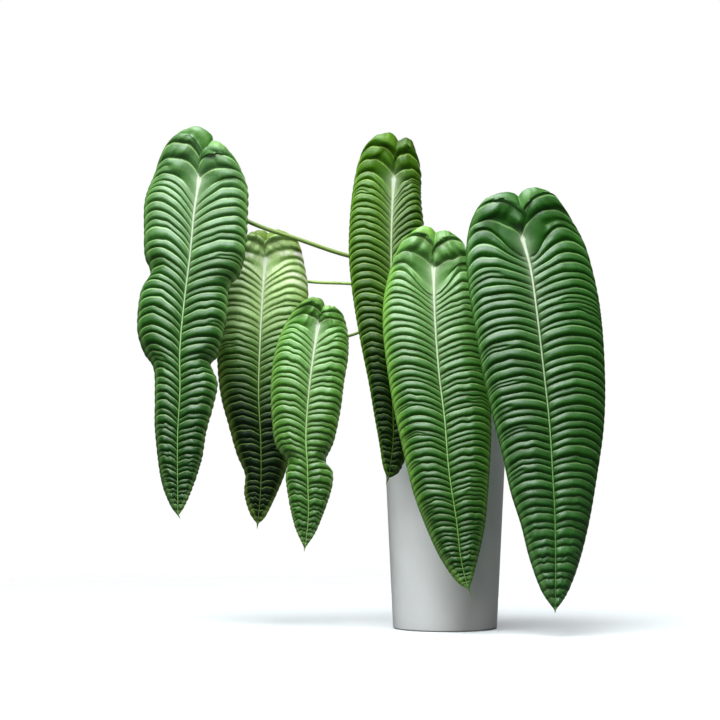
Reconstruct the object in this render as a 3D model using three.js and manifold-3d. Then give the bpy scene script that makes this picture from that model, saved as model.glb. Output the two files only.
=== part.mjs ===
// A king anthurium growing in a tall plain pot: six hanging, deeply ribbed leaves on long stalks.
// Millimetres, +Z up. The origin is the centre of the pot's foot, and -Y is the side that the leaves face.
import * as THREE from 'three';
import { mergeVertices } from 'three/addons/utils/BufferGeometryUtils.js';
import Module from 'manifold-3d';

// ---- Driving dimensions ----
const GAP = 0.35; // left between pieces that touch

const POT = {
  height: 430, footRadius: 78, rimRadius: 100, wall: 6, floor: 9,
  bandHeight: 26, bandOut: 3, edgeRound: 3, drainCount: 4, drainRadius: 7, drainRing: 42, sides: 44,
};
const SOIL = { top: 406, rings: 5, sides: 26, bump: 3.5 };
const STEM = { foot: 352, top: 572, radius: 12.5, nodeSwell: 1.4, sides: 12, budTop: 584 };
const ROOTS = { count: 9, radius: 2.3, sides: 6, steps: 4, start: 452, reach: 30, depth: 30 };
const SCALES = { count: 5, thickness: 1.1, height: 46, halfAngle: 0.75, lowest: 436, spacing: 25, rows: 4, columns: 3 };

const BLADE = {
  thickness: 1.4, // of the sheet, measured front to back
  ribDepth: 4.6, // how far a rib stands out between its two veins
  ribHandles: [[0.27, 0.27], [0.86, 0.36]], // how far along a rib's chord and how high its two handles stand
  lobeHandles: [[0.27, 0.46], [0.7, 0.42]], // the same for the ribs round the joint
  shoulder: 0.5, // how far round a lobe, from the notch to the joint's level, its first crease lands
  lobeCurl: 10, // how far the tops of the lobes bend back
  midribWide: 4.2, midribFront: 1.2, midribBack: 3.2, // half width and the two heights, at the stalk
  midribTip: 0.25, // what is left of them at the tip
  columns: [0.32, 0.68, 1], // across a half blade, after the midrib's edge
  sinusGap: 2, // between the two lobes, at the notch
};

// Each blade is laid out from its joint with the stalk: x to the right and z up, both in mm.
// joint is that point in the part's frame. Each margin runs from the notch between the lobes to the tip.
// sinus runs from the notch down to the joint, between the lobes. landing is how much higher than its root a rib
// reaches the left and the right margin, and crowding, above 1, brings the ribs closer together towards the tip.
// bow is how far the blade bulges forward, tipBack how far its tip hangs back, yaw how much x turns into depth,
// curl how far the left and right margins fall back, and a fold is a local pinch of one margin.
const LEAVES = [
  {
    name: '1', joint: [-365, -80, 670], sinus: [[20, 55], [4, 32]], landing: [20, 7], lobeRibs: 2, ribs: 24, crowding: 1.1,
    bow: 16, tipBack: 10, yaw: -0.16, curl: [10, 16],
    midrib: [[0, 0], [-7, -50], [-13, -114], [-22, -187], [-28, -254], [-28, -313], [-32, -386], [-32, -499]],
    left: [[18, 65], [-3, 75], [-28, 69], [-53, 43], [-66, 10], [-81, -31], [-82, -80], [-81, -115],
      [-73, -140], [-87, -168], [-92, -221], [-83, -257], [-68, -282], [-66, -327], [-66, -372], [-58, -442], [-45, -480]],
    right: [[31, 52], [53, 29], [71, -12], [72, -55], [69, -106], [60, -142], [44, -162], [41, -204],
      [28, -260], [17, -275], [27, -302], [21, -335], [10, -375], [3, -416], [-10, -456], [-22, -484]],
    folds: [
      { side: 'left', at: 0.27, reach: 0.05, depth: 9 }, { side: 'right', at: 0.3, reach: 0.06, depth: 12 },
      { side: 'right', at: 0.54, reach: 0.05, depth: 10 }, { side: 'left', at: 0.54, reach: 0.06, depth: 10 },
    ],
  },
  {
    name: '2', joint: [-269, -12, 553], sinus: [[4, 38], [0, 18]], landing: [8, 0], lobeRibs: 2, ribs: 21, crowding: 1.1,
    bow: 12, tipBack: 14, yaw: 0.05, curl: [12, 12],
    midrib: [[0, 0], [-4, -54], [-8, -129], [-10, -203], [-7, -271], [-7, -338], [-12, -398]],
    left: [[-6, 43], [-27, 36], [-52, 12], [-66, -31], [-71, -84], [-72, -151], [-67, -203], [-55, -250],
      [-43, -293], [-31, -323], [-32, -351], [-24, -380]],
    right: [[22, 43], [48, 27], [59, -13], [64, -54], [61, -106], [54, -173], [46, -233], [38, -285], [27, -327], [2, -382]],
    folds: [{ side: 'left', at: 0.8, reach: 0.06, depth: 9 }],
  },
  {
    name: '3', joint: [-189, -92, 454], sinus: [[9, 28], [3, 14]], landing: [4, 0], lobeRibs: 2, ribs: 19, crowding: 1.1,
    bow: 14, tipBack: 12, yaw: -0.06, curl: [12, 10],
    midrib: [[0, 0], [-8, -52], [-14, -103], [-18, -162], [-16, -206], [-15, -243], [-15, -287], [-20, -330]],
    left: [[5, 37], [-13, 39], [-33, 25], [-51, -4], [-65, -44], [-70, -96], [-68, -140], [-63, -178],
      [-46, -201], [-48, -225], [-43, -262], [-35, -297]],
    right: [[22, 27], [36, 15], [44, -15], [44, -48], [38, -85], [33, -125], [23, -172], [11, -201],
      [21, -217], [20, -240], [10, -272], [-4, -306]],
    folds: [{ side: 'left', at: 0.61, reach: 0.05, depth: 13 }, { side: 'right', at: 0.61, reach: 0.05, depth: 13 }],
  },
  {
    name: '4', joint: [-78, -118, 668], sinus: [[6, 54], [2, 28]], landing: [-2, 0], lobeRibs: 2, ribs: 24, crowding: 1.1,
    bow: 9, tipBack: 4, yaw: 0.12, curl: [8, 8],
    midrib: [[0, 0], [-3, -61], [-4, -120], [-4, -193], [-4, -251], [-2, -324], [-1, -383], [-8, -441]],
    left: [[0, 63], [-16, 66], [-39, 51], [-51, 26], [-59, -10], [-64, -54], [-66, -105], [-63, -149],
      [-57, -193], [-48, -244], [-37, -298], [-29, -345], [-21, -390], [-16, -421]],
    right: [[15, 58], [26, 55], [34, 36], [40, 8], [40, -29], [44, -69], [48, -113], [45, -178],
      [39, -244], [31, -324], [22, -390], [9, -428]],
    folds: [],
  },
  {
    name: '5', joint: [-21, -165, 537], sinus: [[3, 49], [0, 24]], landing: [0, 0], lobeRibs: 2, ribs: 28, crowding: 1.2,
    bow: 14, tipBack: 6, yaw: 0.02, curl: [12, 12],
    midrib: [[0, 0], [2, -77], [8, -156], [16, -221], [22, -294], [33, -366], [40, -424], [51, -469]],
    left: [[-6, 57], [-24, 55], [-44, 38], [-59, 9], [-72, -45], [-73, -94], [-66, -156], [-56, -213],
      [-43, -272], [-30, -325], [-14, -370], [9, -421], [33, -456]],
    right: [[17, 53], [40, 39], [57, 7], [66, -48], [73, -98], [80, -156], [84, -229], [82, -286],
      [77, -359], [70, -402], [60, -441]],
    folds: [],
  },
  {
    name: '6', joint: [106, -205, 577], sinus: [[-6, 59], [1, 30]], landing: [-17, -3], lobeRibs: 2, ribs: 23, crowding: 1,
    bow: 16, tipBack: 10, yaw: 0.1, curl: [10, 14],
    midrib: [[0, 0], [12, -46], [21, -111], [30, -189], [38, -261], [43, -333], [47, -405], [48, -469], [48, -537]],
    left: [[-14, 65], [-32, 66], [-55, 55], [-73, 27], [-81, -17], [-77, -75], [-67, -139], [-57, -197],
      [-44, -254], [-29, -312], [-17, -365], [-2, -412], [11, -462], [28, -508]],
    right: [[2, 69], [18, 74], [42, 65], [64, 39], [87, 1], [100, -37], [112, -93], [118, -154],
      [120, -225], [117, -283], [108, -347], [97, -412], [83, -469], [66, -512]],
    folds: [],
  },
];

// Each stalk's route, from inside the stem to the swelling behind its blade, and its radius along the way.
const STALKS = [
  { leaf: '1', radius: 3.3, route: [[0, 0, 541], [-60, -8, 542], [-145, -20, 558], [-216, -30, 581], [-291, -40, 607], [-345, -44, 640]] },
  { leaf: '2', radius: 2.4, route: [[0, 0, 512], [-60, 5, 511], [-145, 12, 517], [-210, 17, 521], [-247, 19, 534]] },
  { leaf: '3', radius: 2.2, route: [[0, 0, 490], [-50, -20, 476], [-105, -40, 454], [-144, -55, 438], [-172, -62, 439]] },
  { leaf: '4', radius: 3, route: [[0, 0, 554], [-26, -24, 575], [-48, -52, 606], [-66, -74, 645]] },
  { leaf: '5', radius: 3, route: [[0, 0, 501], [-4, -45, 514], [-12, -95, 532], [-19, -130, 544]] },
  { leaf: '6', radius: 3.4, route: [[0, 0, 528], [28, -30, 538], [62, -80, 560], [92, -135, 584], [103, -168, 594]] },
];
const STALK = { sides: 8, steps: 18, baseSwell: 1.7, jointSwell: 1.3, jointLength: 24, below: 4 };

const COLOURS = {
  pot: 0xe9e6df, soil: 0x3d2c20, stem: 0x6f7a3f, stalk: 0x7f9a45,
  blades: { 1: 0x2f6a2c, 2: 0x5f8a2e, 3: 0x62a047, 4: 0x4c7d1f, 5: 0x3f7f2c, 6: 0x245a2c },
};

// ---- Solids from closed meshes, and back ----
const wasm = await Module();
wasm.setup();

function solidFrom(geometry) {
  const bare = geometry.index ? geometry.toNonIndexed() : geometry.clone();
  bare.deleteAttribute('normal');
  bare.deleteAttribute('uv');
  const merged = mergeVertices(bare, 1e-4);
  return new wasm.Manifold(new wasm.Mesh({
    numProp: 3,
    vertProperties: new Float32Array(merged.attributes.position.array),
    triVerts: new Uint32Array(merged.index.array),
  }));
}

function geometryFrom(solid) {
  const { vertProperties, triVerts } = solid.getMesh();
  const geometry = new THREE.BufferGeometry();
  geometry.setAttribute('position', new THREE.BufferAttribute(new Float32Array(vertProperties), 3));
  geometry.setIndex([...triVerts]);
  return geometry;
}

const largestPiece = (solid) => solid.decompose().reduce((a, b) => (a.volume() > b.volume() ? a : b));

function geometryOf(points, triangles) {
  const geometry = new THREE.BufferGeometry();
  geometry.setAttribute('position', new THREE.Float32BufferAttribute(points.flat(), 3));
  geometry.setIndex(triangles.flat());
  return geometry;
}

// ---- Small helpers ----
const clamp = (x, low = 0, high = 1) => Math.min(high, Math.max(low, x));
const mix = (a, b, t) => a + (b - a) * t;
const smooth = (x) => clamp(x) ** 2 * (3 - 2 * clamp(x));

// A closed tube with round ends left flat, whose radius follows radiusAt(t), t from 0 to 1.
function taperedTube(curve, radiusAt, sides, steps) {
  const frames = curve.computeFrenetFrames(steps, false);
  const points = [];
  const triangles = [];
  for (let i = 0; i <= steps; i++) {
    const centre = curve.getPointAt(i / steps);
    for (let j = 0; j < sides; j++) {
      const angle = (2 * Math.PI * j) / sides;
      const p = centre.clone()
        .addScaledVector(frames.normals[i], radiusAt(i / steps) * Math.cos(angle))
        .addScaledVector(frames.binormals[i], radiusAt(i / steps) * Math.sin(angle));
      points.push(p.toArray());
    }
  }
  for (let i = 0; i < steps; i++) {
    for (let j = 0; j < sides; j++) {
      const [a, b] = [i * sides + j, i * sides + ((j + 1) % sides)];
      triangles.push([a, b, b + sides], [a, b + sides, a + sides]);
    }
  }
  const [first, last] = [points.length, points.length + 1];
  points.push(curve.getPointAt(0).toArray(), curve.getPointAt(1).toArray());
  for (let j = 0; j < sides; j++) {
    const [a, b] = [j, (j + 1) % sides];
    triangles.push([first, b, a], [last, steps * sides + a, steps * sides + b]);
  }
  return geometryOf(points, triangles);
}

// ---- Blades ----
// The two edges that a half blade's ribs run between: its spine, which is the side of the sinus and then the
// midrib, and its margin. Both run from the notch between the lobes to the tip.
function halfBlade(leaf, side) {
  const out = side === 'left' ? -1 : 1;
  const line = (points) => new THREE.SplineCurve(points.map(([x, z]) => new THREE.Vector2(x, z)));
  const aside = ([x, z], i) => [x + (out * BLADE.sinusGap) / 2 / (i + 1), z];
  const sinusPoints = leaf.sinus.map(aside);
  const sinus = line([...sinusPoints, leaf.midrib[0]]);
  const midrib = line(leaf.midrib);
  const margin = line([sinusPoints[0], ...leaf[side], leaf.midrib.at(-1)]);
  const length = margin.getLength();
  const level = levelShare(margin);
  const landing = leaf.landing[side === 'left' ? 0 : 1] / length;
  return {
    // t runs from 0 at the notch to 1 at the joint
    lobeEnds: (t) => ({
      start: sinus.getPointAt(t), end: margin.getPointAt(level * mix(BLADE.shoulder, 1, t)), up: sinus.getTangentAt(t).negate(),
    }),
    // t runs from 0 at the joint to 1 at the tip
    bladeEnds: (t) => ({
      start: midrib.getPointAt(t),
      end: margin.getPointAt(mix(level, 1, t) - landing * smooth(8 * t) * (1 - t)),
      up: midrib.getTangentAt(t).negate(),
    }),
    lobeTop: (u) => margin.getPointAt(u * level * BLADE.shoulder),
  };
}

// The share of the margin's length, from the notch, at which it comes down to the joint's level.
function levelShare(margin) {
  const steps = 400;
  let i = 1;
  while (margin.getPointAt(i / steps).y > 0) i++;
  return i / steps;
}

// A rib leaves the spine upwards, arches over and comes down on the margin. The share round is 1 at the joint.
function archedRib({ start, end, up }, round, u) {
  const across = end.clone().sub(start);
  const [first, second] = BLADE.ribHandles.map(([along, high], i) => start.clone()
    .addScaledVector(across, mix(along, BLADE.lobeHandles[i][0], round))
    .addScaledVector(up, across.length() * mix(high, BLADE.lobeHandles[i][1], round)));
  return new THREE.CubicBezierCurve(start, first, second, end).getPoint(u);
}

// The ribs of a lobe are nested: the first one follows the lobe's own top, and the last one leaves the joint.
function lobePoint(half, t, u) {
  const ends = half.lobeEnds(t);
  const arch = archedRib(ends, 1, u);
  const top = half.lobeEnds(0);
  const bulge = half.lobeTop(u).sub(top.start.clone().lerp(top.end, u));
  const nested = ends.start.clone().lerp(ends.end, u).add(bulge);
  return nested.lerp(arch, smooth(t));
}

function bladePoint(half, t, u) {
  return archedRib(half.bladeEnds(t), Math.exp(-8 * t), u);
}

// How far back the blade's sheet lies at a point, without its ribs. q runs from 0 at the joint to 1 at the tip.
function sheetDepth(leaf, side, x, z, u) {
  const q = z / leaf.midrib.at(-1)[1];
  const down = clamp(q);
  let y = -leaf.bow * Math.sin(Math.PI * down ** 0.8) + leaf.tipBack * down ** 2 - 4 * Math.sin(Math.PI * u);
  y += BLADE.lobeCurl * (Math.max(z, 0) / leaf.sinus[0][1]) ** 2;
  y += leaf.yaw * x + leaf.curl[side === 'left' ? 0 : 1] * u ** 2 * smooth((0.2 + q) / 0.3);
  for (const fold of leaf.folds.filter((f) => f.side === side)) {
    y += fold.depth * u ** 2 * Math.exp(-(((q - fold.at) / fold.reach) ** 2));
  }
  return y;
}

// How much of a rib's depth shows at u: little at the midrib, all of it across the sheet, little at the margin.
const ribShare = (u) => smooth(u / 0.2) * (1 - 0.6 * smooth((u - 0.8) / 0.2));

function bladeGeometry(leaf) {
  const halves = { left: halfBlade(leaf, 'left'), right: halfBlade(leaf, 'right') };
  const jointRow = 2 * leaf.lobeRibs;
  const lastRow = jointRow + 2 * leaf.ribs;
  const front = [];
  const back = [];
  const grid = { left: [], right: [] };

  // Even rows lie on the veins, and odd ones on the crests between two veins.
  const shareOf = (row) => (row < jointRow ? row / jointRow : 1 - (1 - (row - jointRow) / (2 * leaf.ribs)) ** leaf.crowding);
  const pointOf = (side, row, u) => (row < jointRow ? lobePoint : bladePoint)(halves[side], shareOf(row), u);
  const taperOf = (row) => (row < jointRow ? 0.4 * shareOf(row) : mix(1, BLADE.midribTip, shareOf(row)));

  const addPoint = (side, row, u, midribShare) => {
    const { x, y: z } = pointOf(side, row, u);
    const rib = (row % 2) * BLADE.ribDepth * ribShare(u) * mix(1, 0.5, row / lastRow);
    const y = sheetDepth(leaf, side, x, z, u) - rib;
    front.push([x, y - BLADE.thickness / 2 - BLADE.midribFront * midribShare * taperOf(row), z]);
    back.push([x, y + BLADE.thickness / 2 + BLADE.midribBack * midribShare * taperOf(row), z]);
    return front.length - 1;
  };

  for (const side of ['left', 'right']) {
    for (let row = 0; row <= lastRow; row++) {
      const shared = side === 'right' && row >= jointRow;
      const spine = shared ? grid.left[row][0] : addPoint(side, row, 0, 1);
      const wide = pointOf(side, row, 0).distanceTo(pointOf(side, row, 1));
      const edge = Math.min(0.2, (BLADE.midribWide * mix(1, BLADE.midribTip, row / lastRow)) / wide);
      const across = row === lastRow ? [] : [edge, ...BLADE.columns];
      const points = across.map((u) => addPoint(side, row, u, 0));
      grid[side].push(row === lastRow ? [0, edge, ...BLADE.columns].map(() => spine) : [spine, ...points]);
    }
  }

  // Both faces are split into the same triangles, so they can't cross.
  const sheet = [];
  const columns = BLADE.columns.length + 1;
  for (const side of ['left', 'right']) {
    for (let row = 0; row < lastRow; row++) {
      for (let c = 0; c < columns; c++) {
        const [a, b] = [grid[side][row][c], grid[side][row][c + 1]];
        const [d, e] = [grid[side][row + 1][c], grid[side][row + 1][c + 1]];
        const pair = [[a, d, e], [a, e, b]];
        sheet.push(...(side === 'right' ? pair : pair.map(([p, q, r]) => [p, r, q])));
      }
    }
  }
  const faces = sheet.filter(([a, b, c]) => a !== b && b !== c && a !== c);
  const shift = front.length;
  const triangles = [...faces, ...faces.map(([a, b, c]) => [a + shift, c + shift, b + shift])];

  // The rim closes every edge that only one triangle of the sheet has.
  const edges = new Set(faces.flatMap(([a, b, c]) => [`${a},${b}`, `${b},${c}`, `${c},${a}`]));
  for (const edge of edges) {
    const [a, b] = edge.split(',').map(Number);
    if (!edges.has(`${b},${a}`)) triangles.push([a, a + shift, b + shift], [a, b + shift, b]);
  }
  return geometryOf([...front, ...back], triangles).translate(...leaf.joint);
}

// ---- Stem with its roots and dry scales ----
function stemProfile(extra) {
  const points = [[0, STEM.foot - extra]];
  const rings = 9;
  for (let i = 0; i <= rings; i++) {
    const z = mix(STEM.foot, STEM.top, i / rings) - (i === 0 ? extra : 0);
    const swell = i % 2 ? STEM.nodeSwell : 0;
    points.push([STEM.radius + swell + extra - (i === rings ? 4 : 0), z]);
  }
  points.push([0, STEM.budTop + extra]);
  return points;
}

function stemBody(extra = 0) {
  const profile = stemProfile(extra).map(([r, z]) => new THREE.Vector2(r, z));
  return new THREE.LatheGeometry(profile, STEM.sides).rotateX(Math.PI / 2);
}

// Air roots leave the lower stem, arch over and go down into the soil.
function root(index, extra = 0) {
  const angle = index * 2.4; // near the golden angle, so no two lie above each other
  const start = STEM.radius * 0.5;
  const reach = ROOTS.reach + 9 * Math.sin(3.1 * index);
  const height = ROOTS.start - 14 * ((index * 0.37) % 1);
  const at = (r, z, turn) => new THREE.Vector3(r * Math.cos(angle + turn), r * Math.sin(angle + turn), z);
  const curve = new THREE.CatmullRomCurve3([
    at(start, height, 0), at(reach * 0.72, height - 8, 0.05), at(reach, SOIL.top + 4, 0.12),
    at(reach * 1.05, SOIL.top - ROOTS.depth - extra, 0.16),
  ]);
  return taperedTube(curve, () => ROOTS.radius + extra, ROOTS.sides, ROOTS.steps);
}

// A dry scale hugs the stem at its foot and leans out to a point.
function scale(index) {
  const angle = 0.9 + index * 2.2;
  const foot = SCALES.lowest + index * SCALES.spacing;
  const { rows, columns } = SCALES;
  const faces = [-SCALES.thickness / 2, SCALES.thickness / 2].map((offset) => {
    const points = [];
    for (let i = 0; i <= rows; i++) {
      const t = i / rows;
      for (let j = 0; j <= columns; j++) {
        const turn = angle + (j / columns - 0.5) * 2 * SCALES.halfAngle * (1 - 0.9 * t ** 2);
        const r = STEM.radius + 0.6 + 9 * t ** 2 + offset;
        points.push([r * Math.cos(turn), r * Math.sin(turn), foot + SCALES.height * t]);
      }
    }
    return points;
  });
  const across = columns + 1;
  const count = faces[0].length;
  const triangles = [];
  for (let i = 0; i < rows; i++) {
    for (let j = 0; j < columns; j++) {
      const a = i * across + j;
      const pair = [[a, a + across, a + across + 1], [a, a + across + 1, a + 1]];
      triangles.push(...pair, ...pair.map(([p, q, r]) => [p + count, r + count, q + count]));
    }
  }
  const edges = new Set(triangles.filter(([p]) => p < count).flatMap(([a, b, c]) => [`${a},${b}`, `${b},${c}`, `${c},${a}`]));
  for (const edge of edges) {
    const [a, b] = edge.split(',').map(Number);
    if (!edges.has(`${b},${a}`)) triangles.push([a, a + count, b + count], [a, b + count, b]);
  }
  return geometryOf(faces.flat(), triangles);
}

const rootNumbers = [...Array(ROOTS.count).keys()];

function stemGeometry() {
  let solid = solidFrom(stemBody());
  for (const i of rootNumbers) solid = solid.add(solidFrom(root(i)));
  for (let i = 0; i < SCALES.count; i++) solid = solid.add(solidFrom(scale(i)));
  for (const stalk of STALKS) solid = solid.subtract(solidFrom(stalkTube(stalk, GAP)));
  return geometryFrom(largestPiece(solid.add(solidFrom(stemBody()))));
}

// ---- Leaf stalks ----
// The route, then the swollen joint that bends forward and down into the blade from behind.
function stalkCurve(stalk) {
  const [x, y, z] = LEAVES.find((leaf) => leaf.name === stalk.leaf).joint;
  const bend = [[x, y + 22, z + 1], [x, y + 12, z + 2], [x, y + 0.5, z - STALK.below]];
  return new THREE.CatmullRomCurve3([...stalk.route, ...bend].map((p) => new THREE.Vector3(...p)));
}

function stalkTube(stalk, extra = 0) {
  const curve = stalkCurve(stalk);
  const length = curve.getLength();
  const radiusAt = (t) => {
    const base = (STALK.baseSwell - 1) * (1 - smooth((t * length) / 45));
    const joint = (STALK.jointSwell - 1) * smooth(((t - 1) * length) / STALK.jointLength + 1.4);
    return stalk.radius * (1 + base + joint) + extra;
  };
  return taperedTube(curve, radiusAt, STALK.sides, STALK.steps);
}

function stalkGeometry(stalk, blade) {
  const behindBlade = solidFrom(blade).translate([0, GAP, 0]);
  const solid = solidFrom(stalkTube(stalk)).subtract(solidFrom(stemBody(GAP))).subtract(behindBlade);
  return geometryFrom(largestPiece(solid));
}

// ---- Pot and soil ----
const potOuter = (z) => mix(POT.footRadius, POT.rimRadius - POT.bandOut, z / (POT.height - POT.bandHeight));
const potInner = (z) => potOuter(Math.min(z, POT.height - POT.bandHeight)) - POT.wall;

function potGeometry() {
  const { height, edgeRound, bandHeight, rimRadius, floor, footRadius } = POT;
  const band = height - bandHeight;
  const profile = [
    [0, 0], [footRadius - edgeRound, 0], [footRadius, edgeRound], [potOuter(band), band], [rimRadius, band + 3],
    [rimRadius, height - edgeRound], [rimRadius - edgeRound, height], [potInner(height) + edgeRound / 2, height],
    [potInner(height), height - edgeRound], [potInner(band), band], [potInner(floor), floor], [0, floor],
  ].map(([r, z]) => new THREE.Vector2(r, z));
  let solid = solidFrom(new THREE.LatheGeometry(profile, POT.sides).rotateX(Math.PI / 2));
  for (let i = 0; i < POT.drainCount; i++) {
    const angle = (2 * Math.PI * (i + 0.5)) / POT.drainCount;
    const drill = new THREE.CylinderGeometry(POT.drainRadius, POT.drainRadius, 4 * floor, 12).rotateX(Math.PI / 2)
      .translate(POT.drainRing * Math.cos(angle), POT.drainRing * Math.sin(angle), 0);
    solid = solid.subtract(solidFrom(drill));
  }
  return geometryFrom(solid);
}

// A plug that fills the pot, with an uneven top, and plain holes for the stem and the roots.
function soilGeometry() {
  const { sides, rings, top, bump } = SOIL;
  const bottom = POT.floor + GAP;
  const flat = Math.cos(Math.PI / POT.sides); // the pot's flats lie nearer than its corners
  const [low, high] = [potInner(bottom), potInner(top)].map((r) => (r - GAP) * flat);
  const points = [[0, 0, bottom], [0, 0, top]];
  const ringAt = (radius, heightAt) => {
    const first = points.length;
    for (let j = 0; j < sides; j++) {
      const angle = (2 * Math.PI * j) / sides;
      points.push([radius * Math.cos(angle), radius * Math.sin(angle), heightAt(angle)]);
    }
    return first;
  };
  const starts = [ringAt(low, () => bottom)];
  for (let i = rings; i > 0; i--) {
    const radius = (high * i) / rings;
    const lumps = (angle) => bump * Math.sin(5 * angle + 2.3 * i) * Math.sin(2 * angle - 1.1 * i);
    starts.push(ringAt(radius, (angle) => top - 5 * (i / rings) ** 3 + (i < rings ? lumps(angle) : 0)));
  }
  const triangles = [];
  for (let j = 0; j < sides; j++) {
    const k = (j + 1) % sides;
    triangles.push([0, starts[0] + k, starts[0] + j], [1, starts.at(-1) + j, starts.at(-1) + k]);
    for (let i = 0; i < starts.length - 1; i++) {
      const [a, b] = [starts[i], starts[i + 1]];
      triangles.push([a + j, a + k, b + k], [a + j, b + k, b + j]);
    }
  }
  let solid = solidFrom(geometryOf(points, triangles)).subtract(solidFrom(stemBody(GAP)));
  for (const i of rootNumbers) solid = solid.subtract(solidFrom(root(i, GAP)));
  return geometryFrom(largestPiece(solid));
}

// ---- The whole plant ----
const finish = (color, roughness = 0.6) => new THREE.MeshStandardMaterial({ color, roughness, metalness: 0 });

function piece(name, geometry, material) {
  const mesh = new THREE.Mesh(geometry, material);
  mesh.name = name;
  return mesh;
}

const plant = new THREE.Group();
plant.add(piece('pot', potGeometry(), finish(COLOURS.pot, 0.55)));
plant.add(piece('soil', soilGeometry(), finish(COLOURS.soil, 0.95)));
plant.add(piece('stem', stemGeometry(), finish(COLOURS.stem, 0.8)));
for (const leaf of LEAVES) {
  const blade = bladeGeometry(leaf);
  const stalk = STALKS.find((s) => s.leaf === leaf.name);
  plant.add(piece(`blade_${leaf.name}`, blade, finish(COLOURS.blades[leaf.name], 0.4)));
  plant.add(piece(`stalk_${leaf.name}`, stalkGeometry(stalk, blade), finish(COLOURS.stalk, 0.5)));
}

export default plant;
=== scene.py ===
"""A king anthurium in a tall plain pot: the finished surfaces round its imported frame.

Metres and +Z up, as in the frame. Leaves and stalks are laid out in millimetres and turned into metres at
the end. -Y is the side that the leaves face.
"""
import math

import bmesh
import bpy
import numpy as np
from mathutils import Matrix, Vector


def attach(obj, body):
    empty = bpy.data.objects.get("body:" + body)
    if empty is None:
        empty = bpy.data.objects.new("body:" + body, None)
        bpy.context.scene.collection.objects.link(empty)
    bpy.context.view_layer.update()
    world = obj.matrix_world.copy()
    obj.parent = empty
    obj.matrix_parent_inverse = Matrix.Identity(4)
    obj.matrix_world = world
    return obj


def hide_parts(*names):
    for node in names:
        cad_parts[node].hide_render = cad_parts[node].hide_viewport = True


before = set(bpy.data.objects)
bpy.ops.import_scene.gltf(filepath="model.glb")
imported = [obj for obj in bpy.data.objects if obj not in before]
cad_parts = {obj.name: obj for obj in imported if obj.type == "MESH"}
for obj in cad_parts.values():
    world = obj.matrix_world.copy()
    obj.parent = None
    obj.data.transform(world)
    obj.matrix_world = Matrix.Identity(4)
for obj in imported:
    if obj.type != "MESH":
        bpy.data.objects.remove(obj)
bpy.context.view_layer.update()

MM = 0.001
LEFT, RIGHT = 0, 1
OUTWARD = (-1, 1)  # which way x grows from the midrib to the left and to the right margin

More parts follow.
